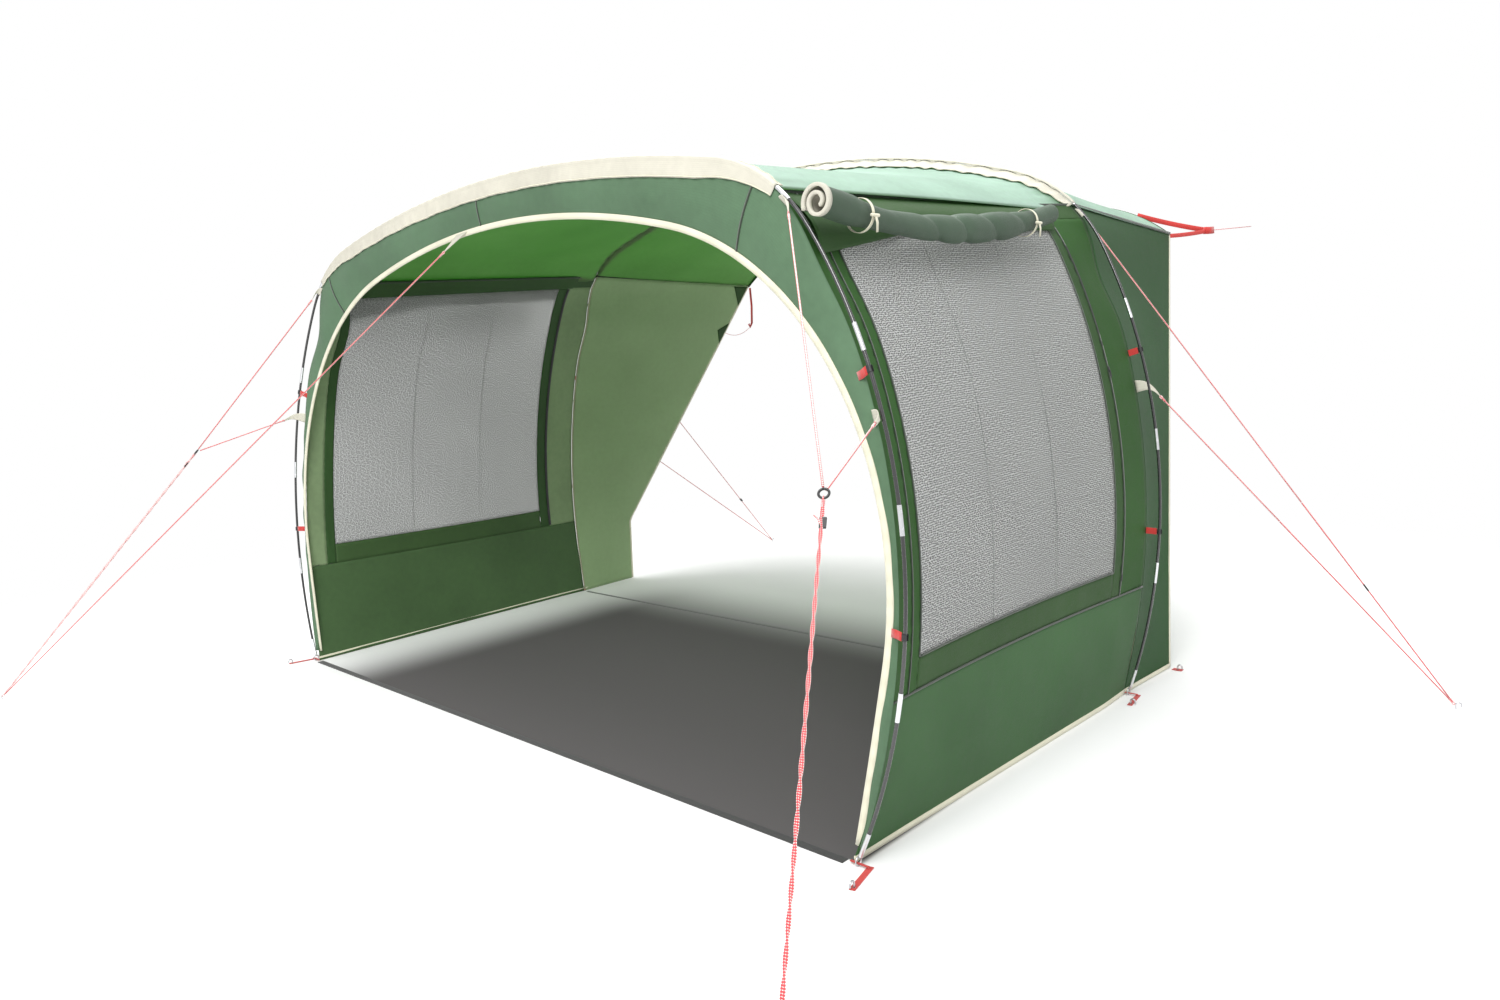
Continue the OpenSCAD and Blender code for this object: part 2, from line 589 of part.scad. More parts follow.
// Flat eye of webbing round a peg
module eye(p, size) translate([p.x, p.y, 2]) difference() {
    cube([size.x, size.y, 2], center = true);
    cylinder(h = 4, r = peg_hole_r, center = true);
}
module foot_webbing() color(red) both() {
    for (f = [[front_at(front_l - foot_ring_s), foot_peg], [rear_at(rear_l - foot_ring_s), rear_foot_peg]]) {
        start = [f[0].x + 35, f[0].y, 0];
        run = f[1] - start;
        translate([f[0].x + 4, f[0].y, 8.6]) cube([62, 8, 2], center = true);
        translate(start + [0, 0, 4.5]) cube([2, 8, 9], center = true);
        translate([start.x, start.y, 2]) rotate([0, 0, atan2(run.y, run.x)]) difference() {
            translate([norm(run) / 2, 0, 0]) cube([norm(run) + 30, 18, 2], center = true);
            translate([norm(run), 0, 0]) cylinder(h = 4, r = peg_hole_r, center = true);
        }
    }
    eye(hood_peg, [40, 26]);
}
strap_l = 3320;
module front_ground_strap() color(black) translate([0, 0, 1.5]) cube([strap_l, 28, 3], center = true);
module rear_ground_strap() color(black)
    translate([0, rear_y, 1]) cube([strap_l + 80, 16, 2], center = true);

hook_r = 9;
peg_top = 14;
// Peg at p whose hook points along the direction of turn, in degrees from +X
module peg(p, turn) color(silver) translate(p) rotate([0, 0, turn]) {
    translate([0, 0, -peg_l]) cylinder(h = peg_l + peg_top, r = peg_r);
    translate([0, 0, -peg_l - 10]) cylinder(h = 10, r1 = 0.5, r2 = peg_r);
    translate([hook_r, 0, peg_top]) rotate([90, 0, 0])
        rotate_extrude(angle = 180) translate([hook_r, 0]) circle(r = peg_r);
    translate([2 * hook_r, 0, peg_top - 6]) cylinder(h = 6, r = peg_r);
}
module front_right_peg() peg(foot_peg, -90);
module front_left_peg() peg(mirrored(foot_peg), -90);
module rear_right_peg() peg(rear_foot_peg, 0);
module rear_left_peg() peg(mirrored(rear_foot_peg), 180);
module hood_right_peg() peg(hood_peg, 0);
module hood_left_peg() peg(mirrored(hood_peg), 180);
module front_right_guy_peg() peg(front_guy_peg, -55);
module front_left_guy_peg() peg(front_left_guy_peg_at, -125);
module rear_right_guy_peg() peg(rear_right_guy_peg, 20);
module rear_left_guy_peg() peg(rear_left_guy_peg, 90);

front_pole();
front_ferrules();
front_shock_cord();
front_foot_pins();
front_sleeve();
front_fascia();
front_binding();
front_clips();
front_clip_straps();
front_guy_tabs();
rear_pole();
rear_ferrules();
rear_shock_cord();
rear_foot_pins();
rear_sleeve();
rear_clips();
rear_clip_straps();
rear_guy_tabs();
zip_strips();
zip_teeth();
right_upper_slider();
right_lower_slider();
left_upper_slider();
left_lower_slider();
roof();
right_window_mesh();
left_window_mesh();
right_window_border();
left_window_border();
right_lower_panel();
left_lower_panel();
hood_roof();
right_hood_side();
left_hood_side();
hood_straps();
right_cover_roll();
left_cover_roll();
cover_ties();
foot_webbing();
front_ground_strap();
rear_ground_strap();
upper_guy_lines();
front_right_tail();
front_left_tail();
rear_left_tail();
rear_right_tail();
front_right_runner();
front_left_runner();
rear_left_runner();
rear_right_runner();
front_right_peg();
front_left_peg();
rear_right_peg();
rear_left_peg();
hood_right_peg();
hood_left_peg();
front_right_guy_peg();
front_left_guy_peg();
rear_right_guy_peg();
rear_left_guy_peg();
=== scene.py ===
"""Screen house: cloth, net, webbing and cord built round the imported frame. Metres, Z up."""
import math
from math import cos, pi, radians, sin, sqrt

import bpy
import numpy as np
from mathutils import Matrix, Vector, noise


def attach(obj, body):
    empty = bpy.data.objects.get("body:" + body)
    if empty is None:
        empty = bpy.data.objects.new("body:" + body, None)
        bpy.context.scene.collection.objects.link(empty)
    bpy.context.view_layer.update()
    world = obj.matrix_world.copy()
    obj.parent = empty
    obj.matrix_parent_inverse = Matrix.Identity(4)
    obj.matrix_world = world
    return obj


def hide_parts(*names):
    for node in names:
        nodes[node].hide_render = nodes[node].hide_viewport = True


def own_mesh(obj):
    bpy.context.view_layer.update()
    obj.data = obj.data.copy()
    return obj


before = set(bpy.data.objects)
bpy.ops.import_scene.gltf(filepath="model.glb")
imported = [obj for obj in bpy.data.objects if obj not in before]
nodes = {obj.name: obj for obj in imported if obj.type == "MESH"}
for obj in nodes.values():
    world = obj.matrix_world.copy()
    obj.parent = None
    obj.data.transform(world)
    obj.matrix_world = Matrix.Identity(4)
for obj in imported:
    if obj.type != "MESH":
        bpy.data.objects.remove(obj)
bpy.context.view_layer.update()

# ------------ driving dimensions
FRONT_LEAN, REAR_LEAN = radians(3.6), radians(2.3)
REAR_Y = 1.721
FRONT_H, REAR_H, OPENING_H = 2.100, 2.300, 1.947
SEAM_Z = (1.852, 1.930)
PANEL_Z = (0.463, 0.442)
WINDOW_LOW = (0.560, 0.543)
WINDOW_HIGH = (1.780, 1.870)
WINDOW_V = (0.08, 0.84)
BORDER_END_V = 0.879
FRONT_STRIP_V = 0.053
ZIP_V, ZIP_BACK, ZIP_INSET = 0.88, 0.200, 0.055
WALL_DRAW = 0.035
FRONT_SEAM_S, REAR_SEAM_S = 1.460, 1.575
ROOF_SAG, HOOD_SAG, HOOD_DRAW = 0.035, 0.045, 0.030
ROOF_L, HOOD_L = 1.7, 1.3
HOOD_FOOT = Vector((1.756, 2.140, 0.0))
HOOD_BEND = Vector((1.750, 2.147, 0.390))
HOOD_CORNER = Vector((1.410, 3.050, 1.895))
HOOD_CROWN_Z, HOOD_POWER = 2.120, 5.3
ROLL_FRONT = {"right": Vector((1.576, 0.105, 1.798)), "left": Vector((1.581, 0.300, 1.803))}
ROLL_REAR, ROLL_SAG = Vector((1.606, 1.385, 1.846)), 0.066
OPENING_BACK = 0.020
# Cloth edge beside a pole: inset where it is sewn on, how far it is drawn in between, and the deeper bow
EDGE_SEWN, EDGE_DRAW = 0.013, 0.040
BOW, BOW_Z, BOW_H = 0.025, 1.640, 0.130
SET_BACK_PART = 0.7
FRONT_GAP = 0.004
CLOTH = 0.0012
NEAR_GROUND = 0.002
UP, OUTSIDE, FRONTWARD = Vector((0, 0, 1)), Vector((1, 0, 0)), Vector((0, -1, 0))


def arch(height, crown_r, crown_a, shoulder_r, shoulder_a, leg_r):
    """Half an arch as arcs (centre, radius, first angle, last angle) from the middle down."""
    a1, a2 = radians(crown_a), radians(crown_a + shoulder_a)
    c0 = np.array((0, height - crown_r))
    c1 = c0 + (crown_r - shoulder_r) * np.array((sin(a1), cos(a1)))
    c2 = c1 + (shoulder_r - leg_r) * np.array((sin(a2), cos(a2)))
    return [(c0, crown_r, 0, a1), (c1, shoulder_r, a1, a2),
            (c2, leg_r, a2, math.acos(-c2[1] / leg_r))]


FRONT = arch(FRONT_H / cos(FRONT_LEAN), 5.664, 11.97, 0.591, 43.14, 1.770)
REAR = arch(REAR_H / cos(REAR_LEAN), 3.835, 19.02, 0.642, 44.81, 2.370)
OPENING = arch(OPENING_H / cos(FRONT_LEAN), 3.780, 14.61, 1.132, 84.45, 20.0)


def arc_length(arc):
    return arc[1] * (arc[3] - arc[2])


def half_length(arcs):
    return sum(arc_length(a) for a in arcs)


def arc_point(arcs, s, inset=0.0):
    """(x, z) in the arch's plane at distance s from the middle, moved in by inset."""
    left, rest = s < 0, abs(s)
    for arc in arcs:
        if rest <= arc_length(arc) or arc is arcs[-1]:
            break
        rest -= arc_length(arc)
    a = arc[2] + rest / arc[1]
    x = arc[0][0] + (arc[1] - inset) * sin(a)
    return (-x if left else x, arc[0][1] + (arc[1] - inset) * cos(a))


def arch_x(arcs, z, inset=0.0):
    """Half width of the arch at height z, below the crown."""
    c, r, _, a = arcs[1]
    arc = arcs[1] if z > c[1] + (r - inset) * cos(a) else arcs[2]
    return arc[0][0] + sqrt((arc[1] - inset) ** 2 - (z - arc[0][1]) ** 2)


def lift(p, y0, lean, off=0.0):
    return Vector((p[0], y0 + p[1] * sin(lean) + off * cos(lean), p[1] * cos(lean) - off * sin(lean)))


def front_at(s, inset=0.0, off=0.0):
    return lift(arc_point(FRONT, s, inset), 0, FRONT_LEAN, off)


def rear_at(s, inset=0.0, off=0.0):
    return lift(arc_point(REAR, s, inset), REAR_Y, REAR_LEAN, off)


def opening_at(s, inset=0.0, off=0.0):
    return lift(arc_point(OPENING, s, inset), 0, FRONT_LEAN, off)


def mix(a, b, t):
    return a * (1 - t) + b * t


def same(p):
    return p


def mirror(p):
    return Vector((-p.x, p.y, p.z))


def edge_inset(z):
    """How far the cloth edge is drawn in from the pole at height z."""
    drawn = EDGE_DRAW * max(0.0, sin(pi * min(z, SEAM_Z[0]) / SEAM_Z[0])) ** 0.6
    return EDGE_SEWN + drawn + BOW * math.exp(-((z - BOW_Z) / BOW_H) ** 2)


def set_back(z):
    """How far the cloth edge stands behind the front pole at height z."""
    return SET_BACK_PART * (edge_inset(z) - EDGE_SEWN)


def front_edge(z):
    return Vector((arch_x(FRONT, z / cos(FRONT_LEAN), edge_inset(z)),
                   z * math.tan(FRONT_LEAN) + FRONT_GAP + set_back(z), z))


def rear_edge(z, gap=-0.0015):
    x = arch_x(REAR, z / cos(REAR_LEAN), edge_inset(z))
    return Vector((x, REAR_Y + z * math.tan(REAR_LEAN) + gap, z))


def zip_line(z):
    inset = ZIP_INSET if z > PANEL_Z[1] else mix(0.012, ZIP_INSET, z / PANEL_Z[1])
    return Vector((arch_x(REAR, z / cos(REAR_LEAN), inset), REAR_Y + z * math.tan(REAR_LEAN) - ZIP_BACK, z))


def wall_at(z, v):
    """Point of the right wall at height z and part v of its length from the front."""
    if v > ZIP_V:
        return mix(zip_line(z), rear_edge(z), (v - ZIP_V) / (1 - ZIP_V))
    w = v / ZIP_V
    draw = WALL_DRAW * sin(pi * min(z, SEAM_Z[0]) / SEAM_Z[0])
    return mix(front_edge(z), zip_line(z), w) - Vector((4 * w * (1 - w) * draw, 0, 0))


def hood_edge(z):
    """Point of the hood's free right edge at height z."""
    if z < HOOD_BEND.z:
        return mix(HOOD_FOOT, HOOD_BEND, z / HOOD_BEND.z)
    return mix(HOOD_BEND, HOOD_CORNER, (z - HOOD_BEND.z) / (HOOD_CORNER.z - HOOD_BEND.z))


def ripple(p, scale, seed=0.0):
    """Smooth random value from -1 to 1 at point p."""
    return noise.noise(Vector((p[0] * scale + seed, p[1] * scale - seed, p[2] * scale + 2.3 * seed)))


# ------------ materials
class Graph:
    """Small helper that adds and links shader nodes."""

    def __init__(self, name):
        self.material = bpy.data.materials.new(name)
        self.material.use_nodes = True
        self.tree = self.material.node_tree
        self.principled = self.tree.nodes["Principled BSDF"]
        self.output = self.tree.nodes["Material Output"]

    def fill(self, node, inputs):
        """Links each input of a node to the given socket, or sets it to the given value."""
        for key, value in inputs.items():
            if isinstance(value, bpy.types.NodeSocket):
                self.tree.links.new(value, node.inputs[key])
            else:
                node.inputs[key].default_value = value
        return node

    def add(self, kind, inputs=None, **settings):
        node = self.tree.nodes.new(kind)
        for key, value in settings.items():
            setattr(node, key, value)
        return self.fill(node, inputs or {})

    def coordinates(self, kind):
        return self.add("ShaderNodeTexCoord").outputs[kind]

    def math(self, operation, a, b=0.0):
        return self.add("ShaderNodeMath", {0: a, 1: b}, operation=operation).outputs[0]

    def blend(self, factor, a, b, mode="MIX"):
        """Mix of two colours; sockets 6 and 7 are the mix node's colours and 2 its colour output."""
        node = self.add("ShaderNodeMix", data_type="RGBA", blend_type=mode)
        return self.fill(node, {0: factor, 6: a, 7: b}).outputs[2]

    def noise(self, vector, scale, detail=3.0):
        inputs = {"Vector": vector, "Scale": scale, "Detail": detail}
        return self.add("ShaderNodeTexNoise", inputs).outputs["Fac"]

    def wave(self, vector, pitch, direction):
        return self.add("ShaderNodeTexWave", {"Vector": vector, "Scale": pi / 10 / pitch},
                        wave_type="BANDS", bands_direction=direction, wave_profile="SIN").outputs["Fac"]

    def ramp(self, value, start, end, low=0.0, high=1.0, kind="LINEAR"):
        """low where value is start or beyond it, high where it is end."""
        inputs = {"Value": value, "From Min": start, "From Max": end, "To Min": low, "To Max": high}
        return self.add("ShaderNodeMapRange", inputs, interpolation_type=kind).outputs[0]

    def bump(self, height, strength, distance):
        inputs = {"Height": height, "Strength": strength, "Distance": distance}
        return self.add("ShaderNodeBump", inputs).outputs["Normal"]

    def shaders(self, factor, a, b):
        return self.add("ShaderNodeMixShader", {0: factor, 1: a.outputs[0], 2: b.outputs[0]})

    def finish(self, shader):
        self.fill(self.output, {"Surface": shader.outputs[0]})
        return self.material


# Weave, ripstop squares, net holes and cord braid in metres; grain of hard parts in noise scale
WEAVE_PITCH, RIPSTOP_PITCH, RIPSTOP_LEVEL = 0.0011, 0.006, 0.93
NET_PITCH, HOLE_CLEAR = 0.0068, 0.10
BRAID_PITCH, GRAIN = 0.010, 60.0


def rgba(c, k=1.0):
    return (c[0] * k, c[1] * k, c[2] * k, 1.0)


def cloth_material(name, colour, glow=0.25, rough=0.62, shade=0.75, without_painted_sheen=None):
    """Coated ripstop: fine weave and ripstop squares in UV metres, patchy colour, light from behind.
    At a slant the colour stays pale, a painted sheen; without_painted_sheen darkens it where the cloth is not
    seen at a slant."""
    g = Graph(name)
    uv, obj = g.coordinates("UV"), g.coordinates("Object")
    weave = g.math("MULTIPLY", g.wave(uv, WEAVE_PITCH, "X"), g.wave(uv, WEAVE_PITCH, "Y"))
    rib_x = g.math("GREATER_THAN", g.wave(uv, RIPSTOP_PITCH, "X"), RIPSTOP_LEVEL)
    rib_y = g.math("GREATER_THAN", g.wave(uv, RIPSTOP_PITCH, "Y"), RIPSTOP_LEVEL)
    rib = g.math("MAXIMUM", rib_x, rib_y)
    patch, fine, soft = g.noise(obj, 2.2, 5.0), g.noise(obj, 38.0, 3.0), g.noise(obj, 14.0, 4.0)
    tone = g.math("ADD", g.math("MULTIPLY", patch, 0.7), g.math("MULTIPLY", fine, 0.3))
    base = g.blend(g.ramp(tone, 0.3, 0.7), rgba(colour, shade), rgba(colour, 1.12))
    base = g.blend(g.math("MULTIPLY", rib, 0.22), base, rgba(colour, 0.55))
    if without_painted_sheen:
        # painted sheen: the colour is paler where the cloth is seen at a slant and darker seen square on
        facing = g.add("ShaderNodeLayerWeight", {"Blend": 0.5}).outputs["Facing"]
        darker = g.blend(1.0, base, rgba(without_painted_sheen), "MULTIPLY")
        base = g.blend(g.ramp(facing, 0.40, 0.80), darker, base)
    height = g.math("ADD", g.math("MULTIPLY", weave, 0.4), g.math("MULTIPLY", rib, 0.8))
    normal = g.bump(g.math("ADD", height, g.math("MULTIPLY", soft, 6.0)), 0.35, 0.0009)
    g.fill(g.principled, {"Base Color": base, "Normal": normal, "Sheen Weight": 0.03,
                          "Specular IOR Level": 0.30,
                          "Roughness": g.ramp(fine, 0.0, 1.0, rough - 0.1, rough + 0.1)})
    yellower = rgba((colour[0] * 0.7, colour[1] * 1.5, colour[2] * 0.45))
    through = g.add("ShaderNodeBsdfTranslucent", {"Normal": normal, "Color": g.blend(0.75, base, yellower)})
    return g.finish(g.shaders(glow, g.principled, through))


def net_material(name, colour):
    """Fine insect net: holes in a pale thread, the holes painted dark as painted shade of what lies behind
    them, a little see-through, lit from both sides.
    """
    g = Graph(name)
    uv = g.coordinates("UV")
    cells = g.add("ShaderNodeTexVoronoi", {"Vector": uv, "Scale": 1 / NET_PITCH, "Randomness": 0.45},
                  voronoi_dimensions="2D").outputs["Distance"]
    hole = g.ramp(cells, 0.42, 0.26)
    thread = g.blend(g.noise(uv, 3.0, 3.0), rgba(colour, 0.94), rgba(colour, 1.06))
    # the holes get a near-black colour: painted shade of the inside seen through them
    surface = g.blend(hole, thread, rgba(colour, 0.10))
    g.fill(g.principled, {"Base Color": surface, "Roughness": 0.75,
                          "Normal": g.bump(g.math("SUBTRACT", 1.0, hole), 0.12, 0.0005)})
    back = g.add("ShaderNodeBsdfTranslucent", {"Color": surface})
    both = g.shaders(0.65, g.principled, back)
    alpha = g.math("SUBTRACT", 1.0, g.math("MULTIPLY", hole, HOLE_CLEAR))
    return g.finish(g.shaders(alpha, g.add("ShaderNodeBsdfTransparent"), both))


def webbing_material(name, colour, edge, pitch=0.0022):
    """Woven webbing: two crossing waves in object space, darker and frayed in places."""
    g = Graph(name)
    obj = g.coordinates("Object")
    a, b = g.wave(obj, pitch, "DIAGONAL"), g.wave(obj, pitch * 1.6, "Y")
    weave = g.math("ADD", g.math("MULTIPLY", a, 0.6), g.math("MULTIPLY", b, 0.4))
    fuzz, wear = g.noise(obj, 420.0, 3.0), g.noise(obj, 9.0, 4.0)
    base = g.blend(weave, rgba(edge), rgba(colour))
    base = g.blend(g.math("MULTIPLY", wear, 0.35), base, rgba(colour, 1.5))
    height = g.math("ADD", weave, g.math("MULTIPLY", fuzz, 0.5))
    g.fill(g.principled, {"Base Color": base, "Normal": g.bump(height, 0.6, 0.0006),
                          "Roughness": 0.75, "Sheen Weight": 0.3})
    return g.material


def cord_material(name, colour, fleck):
    """Braided cord: flecks wind round it in UV, u round the cord and v along it in metres."""
    g = Graph(name)
    parts = g.add("ShaderNodeSeparateXYZ", {0: g.coordinates("UV")})
    turns = g.math("DIVIDE", parts.outputs[1], BRAID_PITCH)
    left = g.math("SINE", g.math("MULTIPLY", g.math("ADD", turns, parts.outputs[0]), 2 * pi))
    right = g.math("SINE", g.math("MULTIPLY", g.math("SUBTRACT", turns, parts.outputs[0]), 2 * pi))
    mark = g.math("GREATER_THAN", g.math("MULTIPLY", left, right), -0.05)
    braid = g.math("SINE", g.math("MULTIPLY", turns, 8 * pi))
    g.fill(g.principled, {"Base Color": g.blend(mark, rgba(fleck), rgba(colour)), "Roughness": 0.6,
                          "Normal": g.bump(g.math("ADD", braid, left), 0.5, 0.0005)})
    return g.material


def hard_material(name, colour, rough, metallic=0.0, coat=0.0):
    """Moulded plastic, fibreglass or metal with a fine grain, scuffs and a varied polish."""
    g = Graph(name)
    obj = g.coordinates("Object")
    fine = g.noise(obj, GRAIN, 4.0)
    scuff = g.math("GREATER_THAN", g.noise(obj, GRAIN * 0.35, 6.0), 0.62)
    base = g.blend(g.math("MULTIPLY", scuff, 0.25), rgba(colour), rgba(colour, 1.7))
    g.fill(g.principled, {"Base Color": base, "Normal": g.bump(fine, 0.25, 0.0002),
                          "Roughness": g.ramp(fine, 0.0, 1.0, rough - 0.08, rough + 0.12),
                          "Metallic": metallic, "Coat Weight": coat})
    return g.material


FASCIA = cloth_material("fascia_cloth", (0.108, 0.198, 0.112), glow=0.15)
# The roof's pale colour is a painted sheen seen at a slant; seen square on it is darkened towards the cloth's
# own green
ROOF = cloth_material("roof_cloth", (0.450, 0.620, 0.530), glow=0.36, without_painted_sheen=(0.40, 0.46, 0.36))
UNDER = cloth_material("canopy_lining", (0.165, 0.265, 0.108), glow=0.45)
HOOD = cloth_material("hood_cloth", (0.038, 0.114, 0.037), glow=0.35)
HOOD_LINING = cloth_material("hood_lining", (0.330, 0.460, 0.245), glow=0.20, shade=0.9)
LINING = cloth_material("strip_lining", (0.260, 0.360, 0.190), glow=0.20)
PANEL_LINING = cloth_material("panel_lining", (0.066, 0.130, 0.047), glow=0.15)
SILL_LINING = cloth_material("sill_lining", (0.047, 0.102, 0.029), glow=0.12)
PANEL = cloth_material("panel_cloth", (0.046, 0.128, 0.040), glow=0.15)
BORDER = cloth_material("border_cloth", (0.029, 0.082, 0.018), glow=0.12)
STRIP = cloth_material("strip_cloth", (0.033, 0.114, 0.020), glow=0.30)
ROLL = cloth_material("roll_cloth", (0.055, 0.090, 0.058), glow=0.02, rough=0.5)
CREAM = cloth_material("cream_cloth", (0.60, 0.575, 0.49), glow=0.10, rough=0.7, shade=0.9)
TAPE = webbing_material("cream_tape", (0.66, 0.64, 0.50), (0.50, 0.48, 0.36))
TAN_TAPE = webbing_material("tan_tape", (0.34, 0.34, 0.21), (0.25, 0.25, 0.15))
NET = net_material("net", (0.76, 0.765, 0.76))
RED = webbing_material("red_webbing", (0.55, 0.030, 0.022), (0.30, 0.012, 0.010))
BLACK_WEB = webbing_material("black_webbing", (0.022, 0.022, 0.023), (0.008, 0.008, 0.008))
GREY_WEB = webbing_material("grey_webbing", (0.10, 0.10, 0.10), (0.03, 0.03, 0.03))
CORD = cord_material("guy_cord", (0.62, 0.05, 0.06), (0.80, 0.72, 0.70))
THREAD = webbing_material("seam_thread", (0.020, 0.036, 0.018), (0.012, 0.022, 0.011), 0.0014)
PALE_THREAD = webbing_material("pale_thread", (0.24, 0.25, 0.24), (0.16, 0.17, 0.16), 0.0014)
POLE = hard_material("pole_fibreglass", (0.014, 0.014, 0.015), 0.26, coat=1.0)
FERRULE = hard_material("ferrule_metal", (0.72, 0.73, 0.75), 0.28, metallic=1.0)
STEEL = hard_material("peg_steel", (0.55, 0.55, 0.57), 0.34, metallic=1.0)
PLASTIC = hard_material("black_plastic", (0.018, 0.018, 0.019), 0.42)
ELASTIC = webbing_material("elastic_cord", (0.7, 0.68, 0.6), (0.4, 0.38, 0.33))


# ------------ mesh helpers
def new_object(name, verts, faces, uvs, materials):
    mesh = bpy.data.meshes.new(name)
    mesh.from_pydata([tuple(v) for v in verts], [], faces)
    layer = mesh.uv_layers.new(name="UVMap")
    corners = np.array([uvs[loop.vertex_index] for loop in mesh.loops], np.float32)
    layer.data.foreach_set("uv", corners.ravel())
    for material in materials:
        mesh.materials.append(material)
    mesh.polygons.foreach_set("use_smooth", [True] * len(mesh.polygons))
    mesh.validate()
    obj = bpy.data.objects.new(name, mesh)
    bpy.context.scene.collection.objects.link(obj)
    return obj


def settle(obj, body, slot, replaced=()):
    """Puts a finished piece on its body and hides the CAD nodes it stands for; slot is not used.
    What is on the ground body is cloth or cord and gets a mesh of its own."""
    if body == "ground":
        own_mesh(obj)
    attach(obj, body)
    if replaced:
        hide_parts(*replaced)


def grid(name, point, nu, nv, materials, thickness=CLOTH, flip=False):
    """Sheet of cloth through point(u, v), u and v from 0 to 1, with UVs in metres. The last of its
    materials is on the face turned away from the normals."""
    rows = [[point(i / nu, j / nv) for j in range(nv + 1)] for i in range(nu + 1)]
    across = [0.0]
    for i in range(nu):
        across.append(across[-1] + (rows[i + 1][nv // 2] - rows[i][nv // 2]).length)
    along = [0.0]
    for j in range(nv):
        along.append(along[-1] + (rows[nu // 2][j + 1] - rows[nu // 2][j]).length)
    verts = [p for row in rows for p in row]
    uvs = [(across[i], along[j]) for i in range(nu + 1) for j in range(nv + 1)]
    faces = []
    for i in range(nu):
        for j in range(nv):
            a = i * (nv + 1) + j
            quad = (a, a + 1, a + nv + 2, a + nv + 1)
            faces.append(quad[::-1] if flip else quad)
    obj = new_object(name, verts, faces, uvs, materials)
    m = obj.modifiers.new("thickness", "SOLIDIFY")
    m.thickness, m.offset = thickness, 0.0
    m.material_offset = len(materials) - 1
    m.use_quality_normals = True
    return obj


def sweep(name, path, section, material, ups=UP):
    """Closed section [(side, up), ...] along a path; ups is the up direction, or one for each point."""
    n, k = len(path), len(section)
    verts, uvs, faces = [], [], []
    run = 0.0
    for i, p in enumerate(path):
        before, after = path[max(i - 1, 0)], path[min(i + 1, n - 1)]
        t = (after - before).normalized()
        side = t.cross(ups if isinstance(ups, Vector) else ups[i]).normalized()
        up = side.cross(t).normalized()
        if i:
            run += (p - path[i - 1]).length
        for m, (a, b) in enumerate(section):
            verts.append(p + side * a + up * b)
            uvs.append((m / k, run))
    for i in range(n - 1):
        for m in range(k):
            a, b = i * k + m, i * k + (m + 1) % k
            faces.append((a, b, b + k, a + k))
    faces.append(tuple(range(k))[::-1])
    faces.append(tuple((n - 1) * k + m for m in range(k)))
    return new_object(name, verts, faces, uvs, [material])


def disc(radius, sides=12):
    return [(radius * cos(2 * pi * k / sides), radius * sin(2 * pi * k / sides)) for k in range(sides)]


def flat(width, thick):
    """Section of a strap with softened edges: width along the side, thick along up."""
    w, t = width / 2, thick / 2
    return [(-w, -t * 0.4), (-w * 0.97, -t), (w * 0.97, -t), (w, -t * 0.4),
            (w, t * 0.4), (w * 0.97, t), (-w * 0.97, t), (-w, t * 0.4)]


def sewn(name, path, away, width, thick, material, body, slot, replaced=()):
    """Tape or seam on a surface; away points off it, one direction or one for each point."""
    settle(sweep(name, path, flat(width, thick), material, away), body, slot, replaced)


def cord(name, points, radius):
    """Round cord through points, resampled so that its twist shows."""
    path = []
    for a, b in zip(points, points[1:]):
        steps = max(2, int((b - a).length / 0.12))
        path += [a.lerp(b, i / steps) for i in range(steps)]
    path.append(points[-1])
    ups = []
    for i in range(len(path)):
        t = path[min(i + 1, len(path) - 1)] - path[max(i - 1, 0)]
        ups.append(UP if abs(t.normalized().z) < 0.95 else OUTSIDE)
    return sweep(name, path, disc(radius, 10), CORD, ups)


def join(name, objs):
    """One object from several, keeping their materials."""
    bpy.context.view_layer.update()
    for o in bpy.context.selected_objects:
        o.select_set(False)
    for o in objs:
        o.select_set(True)
    bpy.context.view_layer.objects.active = objs[0]
    bpy.ops.object.join()
    objs[0].name = name
    return objs[0]


def both_sides(build):
    """Calls build(side name, mirroring function) for the right and for the left side."""
    build("right", same)
    build("left", mirror)


# ------------ roof and hood
POLE_TO_ROOF = 0.006


def gather(p, edge, reach, pitch, height):
    """Small pucker beside a seam: edge is the distance from it."""
    return height * math.exp(-edge / reach) * sin(2 * pi * (p / pitch + 0.35 * sin(p * 9.0)))


def roof_point(u, v):
    s = 2 * u - 1
    run, ahead, behind = s * FRONT_SEAM_S, v * ROOF_L, (1 - v) * ROOF_L
    dip = 0.034 * (1 - math.exp(-behind / 0.030)) * v
    p = mix(front_at(run, POLE_TO_ROOF), rear_at(s * REAR_SEAM_S, POLE_TO_ROOF + dip), v)
    sag = ROOF_SAG * 4 * v * (1 - v) * (1 - s * s)
    pucker = gather(run, ahead, 0.10, 0.085, 0.004) + gather(run, behind, 0.10, 0.085, 0.004)
    crease = 0.006 * ripple((p.x, p.y * 0.35, 0), 3.0, 4.1) * 4 * v * (1 - v)
    return p + Vector((0, 0, pucker + crease - sag))


settle(grid("roof_cloth", roof_point, 150, 84, [ROOF, UNDER], flip=True), "ground", "green_cloth", ["roof"])


